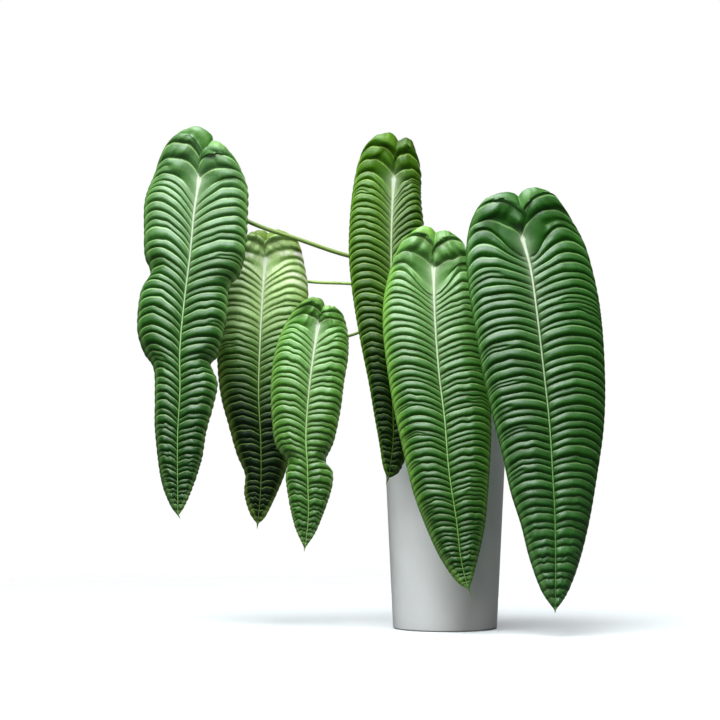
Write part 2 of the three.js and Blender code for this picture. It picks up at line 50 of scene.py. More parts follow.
# Leaf blades. Each is laid out from its joint with the stalk: x to the right and z up, in mm.
# joint: that point in the part's frame
# sinus: from the notch between the lobes down to the joint
# ribs, crowding: how many ribs each half has below the joint, and how much they crowd towards the tip
# lobes: the creases of a lobe, as shares of its depth
# perch: how far above the joint the first rib below it reaches each margin
# landing: the same for the ribs of the upper half, from their roots
# arch: how strongly the ribs arch on each side
# fan, bare: the length of bare midrib below the joint, as a share of it, and how many ribs end there
# fan_arc, joint_arc: the first vein below the bare stretch, and the vein that leaves from the joint itself,
# as how far along the vein's chord and how high its two handles stand, in shares of the chord
# joint_top: how high above the joint that last vein arches on each side
# fingers: how many bulges stand side by side on the soft rib above the joint
# rims, ripple: the width of the smooth bands along the margins, and how far the ribs push a margin out
# bow, tip_back: how far the blade bulges forward, and how far its tip hangs back
# yaw: how much x turns into depth
# curl: how far the left and the right margin fall back
# drip: how far the thin tip runs on from the end of the midrib
# seed: for the leaf's random numbers
# folds: local pinches, each as side, place along the blade, reach and depth
# midrib: from the joint down to the thin tip
# margins: the left and the right one, each from the notch to the thin tip
LEAVES = {
    "1": dict(
        joint=(-365, -80, 670), sinus=[(20, 55), (4, 32)], ribs=48, crowding=1.25, lobes=(0.14, 0.48, 1),
        perch=(14, -5), landing=(28, 4), arch=(1.3, 0.85), fan=0.045, bare=2,
        fan_arc=((0.25, 0.25), (0.65, 0.6)), joint_arc=((0.05, 0.45), (0.83, 0.6)), joint_top=(31, 14),
        fingers=(3, 2), rims=(5.5, 4), ripple=(0.6, 1.2), bow=16, tip_back=10, yaw=-0.16, curl=(10, 16),
        drip=(4, -5), seed=11,
        folds=[(LEFT, 0.27, 0.05, 9), (LEFT, 0.54, 0.06, 10), (RIGHT, 0.3, 0.06, 12),
               (RIGHT, 0.54, 0.05, 10)],
        midrib=[(0, -4), (-7, -50), (-13, -114), (-22, -187), (-28, -254), (-28, -313), (-32, -386),
            (-32, -499)],
        margins=(
            [(18, 65), (-3, 75), (-28, 69), (-53, 43), (-66, 10), (-81, -31), (-82, -80), (-81, -115),
             (-73, -140), (-87, -168), (-92, -221), (-83, -257), (-68, -282), (-66, -327), (-66, -372),
             (-58, -442), (-45, -480)],
            [(31, 52), (53, 29), (71, -12), (72, -55), (69, -106), (60, -142), (44, -162), (41, -204),
             (28, -260), (17, -275), (27, -302), (21, -335), (10, -375), (3, -416), (-10, -456),
             (-22, -484)]),
    ),
    "2": dict(
        joint=(-269, -12, 553), sinus=[(4, 38), (0, 18)], ribs=42, crowding=1.1, lobes=(0.5, 1),
        perch=(8, 8), landing=(4, 3), arch=(1, 1), fan=0.055, bare=2, fan_arc=((0.25, 0.2), (0.78, 0.5)),
        joint_arc=((0.1, 0.28), (0.73, 0.6)), joint_top=(12, 15), fingers=(4, 4), rims=(4.5, 3.5),
        ripple=(0.8, 0.5), bow=12, tip_back=14, yaw=0.05, curl=(12, 12), drip=(-1, -8), seed=23,
        folds=[(LEFT, 0.8, 0.06, 9)],
        midrib=[(0, 0), (-4, -54), (-8, -129), (-10, -203), (-7, -271), (-7, -338), (-12, -398)],
        margins=(
            [(-6, 43), (-27, 36), (-52, 12), (-66, -31), (-71, -84), (-72, -151), (-67, -203), (-55, -250),
             (-43, -293), (-31, -323), (-32, -351), (-24, -380)],
            [(22, 43), (48, 27), (59, -13), (64, -54), (61, -106), (54, -173), (46, -233), (38, -285),
             (27, -327), (2, -382)]),
    ),
    "3": dict(
        joint=(-189, -92, 454), sinus=[(9, 28), (3, 14)], ribs=38, crowding=1.1, lobes=(0.5, 1),
        perch=(0, 0), landing=(12, -3), arch=(1.15, 0.85), fan=0.055, bare=2,
        fan_arc=((0.25, 0.22), (0.72, 0.6)), joint_arc=((0.05, 0.3), (0.6, 0.55)), joint_top=(15, 8),
        fingers=(5, 3), rims=(3, 3), ripple=(0.8, 0.8), bow=14, tip_back=12, yaw=-0.06, curl=(12, 10),
        drip=(-1, -6), seed=37, folds=[(LEFT, 0.61, 0.05, 13), (RIGHT, 0.61, 0.05, 13)],
        midrib=[(0, 0), (-8, -52), (-14, -103), (-18, -162), (-16, -206), (-15, -243), (-15, -287),
            (-20, -330)],
        margins=(
            [(5, 37), (-13, 39), (-33, 25), (-51, -4), (-65, -44), (-70, -96), (-68, -140), (-63, -178),
             (-46, -201), (-48, -225), (-43, -262), (-35, -297)],
            [(22, 27), (36, 15), (44, -15), (44, -48), (38, -85), (33, -125), (23, -172), (11, -201),
             (21, -217), (20, -240), (10, -272), (-4, -306)]),
    ),
    "4": dict(
        joint=(-78, -118, 668), sinus=[(6, 54), (2, 28)], ribs=48, crowding=1.1, lobes=(0.5, 1),
        perch=(9, 0), landing=(10, 22), arch=(1.2, 1.25), fan=0.05, bare=2,
        fan_arc=((0.25, 0.25), (0.7, 0.75)), joint_arc=((0.1, 0.42), (0.81, 0.75)), joint_top=(28, 13),
        fingers=(2, 3), rims=(3, 2.5), ripple=(0.5, 1.2), bow=9, tip_back=4, yaw=0.12, curl=(8, 8),
        drip=(-4, -9), seed=41,
        midrib=[(0, 0), (-3, -61), (-4, -120), (-4, -193), (-4, -251), (-2, -324), (-1, -383), (-8, -441)],
        margins=(
            [(0, 63), (-16, 66), (-39, 51), (-51, 26), (-59, -10), (-64, -54), (-66, -105), (-63, -149),
             (-57, -193), (-48, -244), (-37, -298), (-29, -345), (-21, -390), (-16, -421)],
            [(15, 58), (26, 55), (34, 36), (40, 8), (40, -29), (44, -69), (48, -113), (45, -178),
             (39, -244), (31, -324), (22, -390), (9, -428)]),
    ),
    "5": dict(
        joint=(-21, -165, 537), sinus=[(3, 49), (0, 24)], ribs=56, crowding=1.2, lobes=(0.38, 1),
        perch=(4, 14), landing=(5, -3), arch=(1.05, 0.8), fan=0.05, bare=2,
        fan_arc=((0.35, -0.15), (0.6, 0.9)), joint_arc=((0.2, 0.45), (0.85, 0.6)), joint_top=(22, 16),
        fingers=(4, 3), rims=(5.5, 4.5), ripple=(0.3, 0.4), bow=14, tip_back=6, yaw=0.02, curl=(12, 12),
        drip=(5, -11), seed=59,
        midrib=[(0, -5), (2, -77), (8, -156), (16, -221), (22, -294), (33, -366), (40, -424), (51, -469)],
        margins=(
            [(-6, 57), (-24, 55), (-44, 38), (-59, 9), (-72, -45), (-73, -94), (-66, -156), (-56, -213),
             (-43, -272), (-30, -325), (-14, -370), (9, -421), (33, -456)],
            [(17, 53), (40, 39), (57, 7), (66, -48), (73, -98), (80, -156), (84, -229), (82, -286),
             (77, -359), (70, -402), (60, -441)]),
    ),
    "6": dict(
        joint=(106, -205, 577), sinus=[(-6, 59), (1, 30)], ribs=46, crowding=1, lobes=(0.33, 1),
        perch=(8, 28), landing=(-17, -3), arch=(0.85, 0.85), fan=0.035, bare=1,
        fan_arc=((0.33, -0.15), (0.47, 0.83)), joint_arc=((0.08, 0.36), (0.68, 0.6)), joint_top=(26, 43),
        fingers=(2, 1), rims=(7, 2.5), ripple=(0.2, 0.5), bow=16, tip_back=10, yaw=0.1, curl=(10, 14),
        drip=(0, -4), seed=67,
        midrib=[(0, 0), (12, -46), (21, -111), (30, -189), (38, -261), (43, -333), (47, -405), (48, -469),
            (48, -537)],
        margins=(
            [(-14, 65), (-32, 66), (-55, 55), (-73, 27), (-81, -17), (-77, -75), (-67, -139), (-57, -197),
             (-44, -254), (-29, -312), (-17, -365), (-2, -412), (11, -462), (28, -508)],
            [(2, 69), (18, 74), (42, 65), (64, 39), (87, 1), (100, -37), (112, -93), (118, -154),
             (120, -225), (117, -283), (108, -347), (97, -412), (83, -469), (66, -512)]),
    ),
}

BLADE = dict(
    thickness=1.1,  # of the sheet, front to back
    rib_ratio=0.31, rib_limit=5.2,  # how deep a rib is for its width, and at most
    sag=0.15,  # how far a rib hangs down, for its depth
    rib_handles=((0.27, 0.27), (0.86, 0.36)),  # how far along and how high a rib's two handles stand
    lobe_handles=((-0.28, 1.1), (0.7, 1.05)),  # the same for the topmost arc of a lobe
    lobe_bunch=0.25,  # how close to the joint the arcs of a lobe start
    lobe_follow=0.2,  # how far into the lobe its arcs still follow the outline
    shoulder=0.5,  # how far round a lobe, from the notch to the first rib, its top crease lands
    lobe_curl=-6,  # how far the tops of the lobes bend back
    midrib_wide=2.6, midrib_foot=4.2,  # half width, and more of it at the joint
    midrib_tip=0.3,  # the share of that width left at the tip
    midrib_front=1.1, midrib_back=3.4,  # how far the midrib stands out
    pale_wide=2.1, pale_foot=3.4,  # half width of its pale colour, and more of it at the joint
    drip_wide=1.5,  # half width of the thin tip
    sinus_gap=-1.6,  # between the two lobes, at the notch: they overlap
    lobe_step=1.3,  # how far in front of the other one the right lobe lies, halved
    cup=4,  # how far each half bulges forward between the midrib and the margin
    wave=1.8, wander=1.7,  # how far the sheet waves in depth, and its ribs up and down
    wrinkle=0.7,  # how much the soft ribs round the joint crumple
    fork_share=0.1,  # of the ribs, those that split in two
    flat_width=45, calm_width=16,  # the widths of a half below which its curl and its waves die out
    rows_per_rib=10, columns=27,
)

# Leaf stalks: radius and route from inside the stem to the swelling behind the blade, in mm.
STALKS = {
    "1": (3.3, [(0, 0, 541), (-60, -8, 542), (-145, -20, 558), (-216, -30, 581), (-291, -40, 607),
                (-345, -44, 640)]),
    "2": (2.4, [(0, 0, 512), (-60, 5, 511), (-145, 12, 517), (-210, 17, 521), (-247, 19, 534)]),
    "3": (2.2, [(0, 0, 490), (-50, -20, 476), (-105, -40, 454), (-144, -55, 438), (-172, -62, 439)]),
    "4": (3.0, [(0, 0, 554), (-26, -24, 575), (-48, -52, 606), (-66, -74, 645)]),
    "5": (3.0, [(0, 0, 501), (-4, -45, 514), (-12, -95, 532), (-19, -130, 544)]),
    "6": (3.4, [(0, 0, 528), (28, -30, 538), (62, -80, 560), (92, -135, 584), (103, -168, 594)]),
}
STALK = dict(sides=20, steps=110, base_swell=1.7, base_length=45, joint_swell=1.3, joint_length=24, below=4)

STEM = dict(foot=353, top=572, radius=12.5, bud_top=584, bud_taper=3.5, nodes=9, node_swell=1.4, sides=48,
            steps=150)
ROOTS = dict(count=9, radius=2.3, start=452, reach=30, depth=30, sides=12, steps=40)
SCALES = dict(count=5, height=46, half_angle=0.75, lowest=436, spacing=25, thickness=0.5, lean=9)
POT = dict(height=430, foot_radius=78, rim_radius=100, wall=6, floor=9, band_height=26, band_out=3,
           edge_round=3, drain_count=4, drain_radius=7, drain_ring=42, sides=160)
SOIL = dict(top=406, sides=96, rings=34, lump=2.2, dip=5)  # dip: how much lower it lies at the wall
BARK = dict(count=420, sizes=(4, 9.5), flatness=(0.25, 0.5), seed=601, roundness=0.8)
PERLITE = dict(count=110, sizes=(1.4, 3), flatness=(0.7, 0.95), seed=602, roundness=1.0)
SEEDS = dict(stalk=100, root=200, stem=300, scale=400, soil=500)
CAMERA = dict(place=(-0.1275, -5.0, 0.402), lens=166.67, sensor=36, far=100)


# Small helpers

def smooth(x):
    x = np.clip(x, 0, 1)
    return x * x * (3 - 2 * x)


def mix(a, b, t):
    return a + (b - a) * t


def soft_noise(rng, shape, cells):
    """Smooth random numbers from -1 to 1 over a grid of that shape, with about that many waves each way."""
    coarse = rng.uniform(-1, 1, [c + 3 for c in cells])
    rows, columns = (np.linspace(0, c, n) for c, n in zip(cells, shape))
    i, j = (np.minimum(line.astype(int), c) for line, c in zip((rows, columns), cells))
    down, across = smooth(rows - i)[:, None], smooth(columns - j)[None, :]

    def corner(below, right):
        return coarse[np.ix_(i + below, j + right)]

    return mix(mix(corner(0, 0), corner(0, 1), across), mix(corner(1, 0), corner(1, 1), across), down)


class Path:
    """A smooth curve through points of the plane or of space, read by the share of its length."""

    def __init__(self, points, per_span=24, end=None, eased=False):
        """The curve goes through the points, then straight on to the end if there is one. An eased curve
        turns less where two points lie close together."""
        pts = np.array(points, float)
        padded = np.vstack([pts[:1], pts, pts[-1:]])
        t = np.linspace(0, 1, per_span, endpoint=False)[:, None]
        spans = []
        for a, b, c, d in zip(padded, padded[1:], padded[2:], padded[3:]):
            before, span, after = (np.linalg.norm(q - p) for p, q in ((a, b), (b, c), (c, d)))
            if not eased:
                before = after = span
            v0, v1 = (c - a) * span / (before + span), (d - b) * span / (span + after)
            cubic, square = 2 * b - 2 * c + v0 + v1, -3 * b + 3 * c - 2 * v0 - v1
            spans.append(cubic * t**3 + square * t**2 + v0 * t + b)
        self.points = np.vstack(spans + [pts[-1:]] + ([] if end is None else [[end]]))
        steps = np.linalg.norm(np.diff(self.points, axis=0), axis=1)
        self.at_length = np.concatenate([[0], np.cumsum(steps)])
        self.length = self.at_length[-1]

    def at(self, share):
        s = np.clip(share, 0, 1) * self.length
        return np.stack([np.interp(s, self.at_length, column) for column in self.points.T], axis=-1)

    def along(self, share):
        step = 0.5 / self.length
        ahead = self.at(np.clip(share, 0, 1 - step) + step) - self.at(np.clip(share, step, 1) - step)
        return ahead / np.linalg.norm(ahead, axis=-1, keepdims=True)


# Meshes

def new_mesh(name, points, faces, values=None):
    """A smooth mesh object from points in mm, with one float triple per vertex for each named value."""
    mesh = bpy.data.meshes.new(name)
    mesh.from_pydata((np.asarray(points) * MM).tolist(), [], faces)
    for key, triples in (values or {}).items():
        layer = mesh.attributes.new(key, "FLOAT_VECTOR", "POINT")
        layer.data.foreach_set("vector", np.asarray(triples, np.float32).ravel())
    mesh.polygons.foreach_set("use_smooth", [True] * len(mesh.polygons))
    mesh.validate()
    piece = bpy.data.objects.new(name, mesh)
    bpy.context.scene.collection.objects.link(piece)
    return piece


def grid_faces(rows, columns, closed=False):
    """Quads over a grid of points. A closed grid joins its last column to its first."""
    i, j = np.meshgrid(np.arange(rows - 1), np.arange(columns if closed else columns - 1), indexing="ij")
    k = (j + 1) % columns
    corners = (i * columns + j, i * columns + k, (i + 1) * columns + k, (i + 1) * columns + j)
    return np.stack(corners, -1).reshape(-1, 4).tolist()


def tube(name, rings, ends, values=None):
    """A closed piece from rings of points and the centres of its two ends."""
    count, sides = rings.shape[:2]
    first, last, last_ring = count * sides, count * sides + 1, (count - 1) * sides
    faces = grid_faces(count, sides, closed=True)
    for j in range(sides):
        k = (j + 1) % sides
        faces += [[first, k, j], [last, last_ring + j, last_ring + k]]
    return new_mesh(name, np.vstack([rings.reshape(-1, 3), ends]), faces, values)


def ring_triples(first, second, ends):
    """A tube's painted value: two numbers per point of its rings, and the first one of both its ends."""
    first, second = (np.concatenate([v.ravel(), e]) for v, e in ((first, ends), (second, [0, 0])))
    return np.stack([first, second, np.zeros_like(first)], 1)


def lathe(radii, heights, turn):
    """Rings of points round the Z axis. The radii may differ from side to side."""
    shape = np.broadcast_shapes(np.shape(radii), np.shape(heights), turn.shape)
    x, y = radii * np.cos(turn), radii * np.sin(turn)
    return np.stack([np.broadcast_to(v, shape) for v in (x, y, heights)], -1)


def full_turn(sides):
    return np.linspace(0, 2 * np.pi, sides, endpoint=False)


def closed_sheet(faces, shift):
    """The faces of a thin sheet: its front, the same turned over for its back, and the rim between them."""
    back = [[i + shift for i in reversed(f)] for f in faces]
    edges = {(f[i], f[(i + 1) % len(f)]) for f in faces for i in range(len(f))}
    rim = [[q, p, p + shift, q + shift] for p, q in sorted(edges) if (q, p) not in edges]
    return faces + back + rim


# Leaf blades

class HalfBlade:
    """One side of a blade, between its spine (the side of the sinus, then the midrib) and its margin."""

    def __init__(self, leaf, side):
        out = OUTWARD[side]
        gap, sinus = BLADE["sinus_gap"] / 2, leaf["sinus"]
        aside = [(x + out * gap / (i + 1), z) for i, (x, z) in enumerate(sinus)]
        (x, z), (drip_x, drip_z) = leaf["midrib"][-1], leaf["drip"]
        tip, shoulder = (x + drip_x, z + drip_z), (x + out * BLADE["drip_wide"], z + 2)
        self.sinus = Path(aside + leaf["midrib"][:1])
        self.midrib = Path(leaf["midrib"], end=tip)
        self.margin = Path(aside[:1] + leaf["margins"][side] + [shoulder], end=tip)
        trial = np.linspace(0, 1, 2000)[1:]
        self.level = trial[np.argmax(self.margin.at(trial)[:, 1] <= 0)]
        self.perch = leaf["perch"][side] / self.margin.length
        self.landing = leaf["landing"][side] / self.margin.length
        self.arch = leaf["arch"][side]
        self.ribs, self.fan_drop, self.bare = leaf["ribs"], leaf["fan"], leaf["bare"]
        self.joint_arc, self.fan_arc = leaf["joint_arc"], leaf["fan_arc"]
        self.joint_top = leaf["joint_top"][side]
        self.outline_top = self.margin.points[:, 1].max()
        joint = np.ones(1)
        handles = self.lobe_handles(joint, *self.lobe_ends(joint))
        self.joint_handles = [[float(v[0, 0]) for v in pair] for pair in handles]

    def arched(self, start, end, up, handles, u):
        """Ribs that leave the spine upwards, arch over and come down on the margin."""
        across = end - start
        wide = np.linalg.norm(across, axis=-1, keepdims=True)
        first, second = (start + across * along + up * wide * high for along, high in handles)
        t = u[..., None]
        p, q, r, s = start[:, None], first[:, None], second[:, None], end[:, None]
        return p * (1 - t) ** 3 + 3 * q * t * (1 - t) ** 2 + 3 * r * t**2 * (1 - t) + s * t**3

    def lobe_ends(self, t):
        """Where the lobe's rows start beside the sinus and where they reach the margin."""
        low = self.level - self.perch
        reached = low * mix(BLADE["shoulder"], 1, t**0.7)
        return self.sinus.at(t ** BLADE["lobe_bunch"]), self.margin.at(reached)

    def lobe_handles(self, t, start, end):
        """The two handles of each row. Its arc comes as high as its place in the lobe asks."""
        near = t[:, None]
        pairs = zip(BLADE["lobe_handles"], self.joint_arc)
        shape = [[mix(a, b, near**1.6) for a, b in zip(top, joint)] for top, joint in pairs]
        up = self.lobe_up(t)
        trial = np.tile(np.linspace(0.05, 0.95, 19), (len(t), 1))
        low = self.arched(start, end, 0 * up, shape, trial)[..., 1]
        lift = self.arched(start, end, up, shape, trial)[..., 1] - low
        scale = ((mix(self.outline_top, self.joint_top, near) - low) / lift).min(axis=1)[:, None]
        return [(along + 0 * near, high * scale) for along, high in shape]

    def lobe_up(self, t):
        return -self.sinus.along(t ** BLADE["lobe_bunch"])

    def lobe(self, t, u):
        """Points of the lobe's rows. Row t = 0 follows its outline. The others start near the joint, run up
        beside the sinus and arch over inside each other, down to t = 1, which leaves from the joint."""
        start, end = self.lobe_ends(t)
        arch = self.arched(start, end, self.lobe_up(t), self.lobe_handles(t, start, end), u)
        top = (self.level - self.perch) * BLADE["shoulder"]
        bulge = self.margin.at(u * top) - mix(self.margin.at(0.0), self.margin.at(top), u[..., None])
        nested = mix(start[:, None], end[:, None], u[..., None]) + bulge
        return mix(nested, arch, smooth(t / BLADE["lobe_follow"])[:, None, None])

    def strap(self, t, u):
        """Points of the rows below the joint. The first ribs fan out from a bare stretch of the midrib."""
        begun = smooth(t * self.ribs / self.bare)
        root = t + self.fan_drop * begun * np.exp(-10 * t)
        near = np.exp(-25 * t)
        landing = self.perch * near + self.landing * smooth(8 * t) * (1 - near)
        end = mix(self.level, 1, t) - landing * (1 - t)
        fan = (begun * np.exp(-22 * np.maximum(0, t - self.bare / self.ribs)))[:, None]
        joint = (1 - begun)[:, None]
        handles = []
        for plain, fanned, first in zip(BLADE["rib_handles"], self.fan_arc, self.joint_handles):
            plain = (plain[0], plain[1] * self.arch)
            handles.append([mix(mix(a, b, fan), c, joint) for a, b, c in zip(plain, fanned, first)])
        start = self.midrib.at(root)
        return self.arched(start, self.margin.at(end), -self.midrib.along(root), handles, u)


def rib_rows(leaf, rng):
    """For each row of points: its share of the lobe or of the strap, whether it is in the lobe, its place
    between two veins (0 to 1) and its rib's number."""
    per_rib, count = BLADE["rows_per_rib"], leaf["ribs"]
    place = np.arange(per_rib) / per_rib
    place = place - 0.07 * np.sin(2 * np.pi * place)
    # Wide and narrow ribs take turns, and none is quite like the next.
    wide = 1 + 0.17 * np.cos(np.pi * np.arange(count)) + rng.uniform(-0.2, 0.2, count)
    wide[:4] = (1.15, 1.1, 1.1, 1)
    veins = np.concatenate([[0], np.cumsum(wide) / wide.sum()])
    veins = 1 - np.clip(1 - veins, 0, 1) ** leaf["crowding"]
    shares, in_lobe = [], []
    for part, marks in (("lobe", (0, *leaf["lobes"])), ("strap", veins)):
        for low, high in zip(marks, marks[1:]):
            shares.append(mix(low, high, place))
            in_lobe.append(np.full(per_rib, part == "lobe"))
    ribs = len(shares)
    return (
        np.concatenate(shares + [[1.0]]),
        np.concatenate(in_lobe + [[False]]),
        np.concatenate([np.tile(place, ribs), [0.0]]),
        np.concatenate([np.repeat(np.arange(ribs), per_rib), [ribs - 1]]))


def row_widths(half, shares, in_lobe):
    """How wide the half is along each row, straight from its spine to its margin."""
    lobe_start, lobe_end = half.lobe_ends(shares)
    across = half.margin.at(mix(half.level, 1, shares)) - half.midrib.at(shares)
    across[in_lobe] = (lobe_end - lobe_start)[in_lobe]
    return np.maximum(np.linalg.norm(across, axis=1), 1.0)


def column_shares(edge):
    """How far along its row each point stands: four points over the midrib's flank, the rest beyond it."""
    flank = np.array([0, 0.35, 0.7, 1])
    rest = np.linspace(0, 1, BLADE["columns"] - 3)[1:]
    rest = rest + 0.05 * np.sin(2 * np.pi * rest)
    edge = edge[:, None]
    return np.concatenate([edge * flank, edge + (1 - edge) * rest], axis=1)


def rib_depths(flat, rng):
    """How deep each rib is along its length. It is as deep as its room between two veins lets it be, and it
    swells and sinks."""
    veins = flat[::BLADE["rows_per_rib"]]
    run = np.gradient(veins, axis=1)
    run /= np.maximum(np.linalg.norm(run, axis=-1, keepdims=True), 1e-9)
    step = veins[1:] - veins[:-1]
    room = np.abs(step[..., 0] * run[:-1, :, 1] - step[..., 1] * run[:-1, :, 0])
    depth = BLADE["rib_limit"] * np.tanh(BLADE["rib_ratio"] * room / BLADE["rib_limit"])
    count = len(room)
    depth *= rng.uniform(0.86, 1.08, count)[:, None]
    return depth * (1 + 0.2 * soft_noise(rng, room.shape, (count, 5)))


def forks(count, lobe_ribs, numbers, u, rng):
    """How far each rib has split in two, from 0 to 1. Most never do, and none does in the lobe."""
    never = 9
    start = np.where(rng.random(count) < BLADE["fork_share"], rng.uniform(0.3, 0.65, count), never)
    start[:lobe_ribs] = never
    return smooth((u - start[numbers][:, None]) / 0.15)


def pillow(place):
    """A rib's outline between two veins: a long slope that faces up and a short one that faces down."""
    return np.sin(np.pi * np.clip(place, 0, 1) ** 1.15)


def soft_ribs(leaf, side, shares, in_lobe, u, rng):
    """What the relief is multiplied by where the big soft ribs round the joint crumple and bulge."""
    loose = np.where(in_lobe, 1, np.exp(-30 * shares))[:, None]
    wrinkles = soft_noise(rng, u.shape, (len(leaf["lobes"]) * 2 + 12, 11))
    on_fist = (in_lobe & (shares >= leaf["lobes"][-2]))[:, None]
    knuckles = np.abs(np.sin(np.pi * leaf["fingers"][side] * u**0.9)) ** 0.6
    return (1 + BLADE["wrinkle"] * loose * wrinkles) * np.where(on_fist, 0.45 + 0.75 * knuckles, 1)


def sheet_depth(leaf, side, x, z, u, wide):
    """How far back the blade's sheet lies, without its ribs. wide goes from 1 to 0 where the blade ends."""
    q = z / leaf["midrib"][-1][1]
    down = np.clip(q, 0, 1)
    y = leaf["tip_back"] * down**2 - leaf["bow"] * np.sin(np.pi * down**0.8)
    y += BLADE["lobe_curl"] * (np.maximum(z, 0) / leaf["sinus"][0][1]) ** 2
    y += leaf["yaw"] * x - BLADE["cup"] * np.sin(np.pi * u) * wide
    y += leaf["curl"][side] * u**2 * smooth((0.2 + q) / 0.3) * wide
    y -= OUTWARD[side] * BLADE["lobe_step"] * smooth(z / 12) * (1 - u)
    for fold_side, place, reach, depth in leaf.get("folds", []):
        if fold_side == side:
            y += depth * u**2 * np.exp(-(((q - place) / reach) ** 2))
    return y


def pale_tissue(half, flat, x, z, down, shares, in_lobe):
    """How much of the midrib's pale colour shows on it and beside it. Both end soon above the joint."""
    spine = half.midrib.points[::-1]
    aside = np.abs(flat[..., 0] - np.interp(flat[..., 1], spine[:, 1], spine[:, 0]))
    above = np.maximum(z, 0)
    wide = BLADE["pale_wide"] * mix(1, BLADE["midrib_tip"], np.clip(down, 0, 1))
    wide = (wide + BLADE["pale_foot"] * np.exp(-np.abs(z) / 16)) * np.exp(-above / 3.5)
    ridge = smooth(1.25 * (1 - aside / wide)) * np.where(in_lobe, smooth((shares - 0.7) / 0.3), 1)[:, None]
    halo = np.exp(-aside / 6.5 - np.hypot(x, z) / 75 - above / 12)
    return ridge, halo * np.where(in_lobe, smooth((shares - 0.6) / 0.4), 1)[:, None]


def half_blade(leaf, side, rows, rng):
    """Points and painted values over the grid of one side of a blade."""
    shares, in_lobe, places, numbers = rows
    half, out, lobe_ribs = HalfBlade(leaf, side), OUTWARD[side], len(leaf["lobes"])
    width = row_widths(half, shares, in_lobe)
    taper = np.where(in_lobe, 0.3 + 0.7 * shares, mix(1, BLADE["midrib_tip"], shares))
    from_joint = np.where(in_lobe, 3 * (1 - shares), 25 * shares)
    midrib = taper * (BLADE["midrib_wide"] + BLADE["midrib_foot"] * np.exp(-from_joint))
    edge = np.minimum(0.3, midrib / width)
    u = column_shares(edge)
    edge, width = edge[:, None], width[:, None]
    flat = np.empty((*u.shape, 2))
    flat[in_lobe] = half.lobe(shares[in_lobe], u[in_lobe])
    flat[~in_lobe] = half.strap(shares[~in_lobe], u[~in_lobe])

    # The relief dies out on the midrib and on the smooth band along the margin.
    depth = rib_depths(flat, rng)
    fork = forks(len(depth), lobe_ribs, numbers, u, rng)
    crest = mix(pillow(places)[:, None], 0.75 * pillow(2 * places % 1)[:, None], fork)
    rim = leaf["rims"][side] / width
    share = smooth((u - 0.4 * edge) / 0.1) * (1 - 0.88 * smooth((u - 1 + 1.9 * rim) / (1.9 * rim)))
    if leaf["bare"] > 1:
        # The first ribs run out before they reach the bare stretch of the midrib.
        along_bare = np.where(in_lobe, 0, np.clip(shares * leaf["ribs"] / leaf["bare"], 0, 1))
        share = share * (1 - np.sin(np.pi * along_bare)[:, None] ** 0.5 * (1 - smooth((u - 0.22) / 0.3)))
    relief = crest * share * depth[numbers] * soft_ribs(leaf, side, shares, in_lobe, u, rng)
    collective = np.exp(-(((u - 1 + 0.9 * rim) / (0.5 * rim)) ** 2))

    calm = smooth(width / BLADE["calm_width"])
    wander = soft_noise(rng, u.shape, (int(len(depth) / 1.7), 6)) * np.sin(np.pi * u)
    waves = soft_noise(rng, u.shape, (12, 3)) * u
    x = flat[..., 0] + out * leaf["ripple"][side] * (crest - 0.4) * u**6 * calm
    z = flat[..., 1] - BLADE["sag"] * relief + BLADE["wander"] * wander * calm
    y = sheet_depth(leaf, side, x, z, u, smooth(width / BLADE["flat_width"]))
    y += BLADE["wave"] * waves * calm - relief - 0.4 * collective

    top, tip = leaf["sinus"][0][1], leaf["midrib"][-1][1]
    down = (top - z) / (top - tip)
    tone = rng.uniform(-1, 1, len(depth))[numbers][:, None] * np.ones_like(u)
    # The paler margin runs on round the top of the lobe.
    round_top = np.where(in_lobe, 1 - 0.6 * shares / leaf["lobes"][0], 0)[:, None]
    slope = mix(np.sin(2 * np.pi * places)[:, None], np.sin(4 * np.pi * places)[:, None], fork)
    line_share = share * smooth((np.arange(len(shares)) - 2) / 4)[:, None]
    ridge, halo = pale_tissue(half, flat, x, z, down, shares, in_lobe)
    return dict(
        points=np.stack([x, y, z], -1),
        raised=np.maximum(0, 1 - u / edge) ** 0.6 * taper[:, None],
        leaf_place=np.stack([out * np.maximum(u, round_top), down, tone], -1),
        leaf_rib=np.stack([crest, slope, line_share], -1),
        leaf_vein=np.stack([ridge, halo, collective], -1))


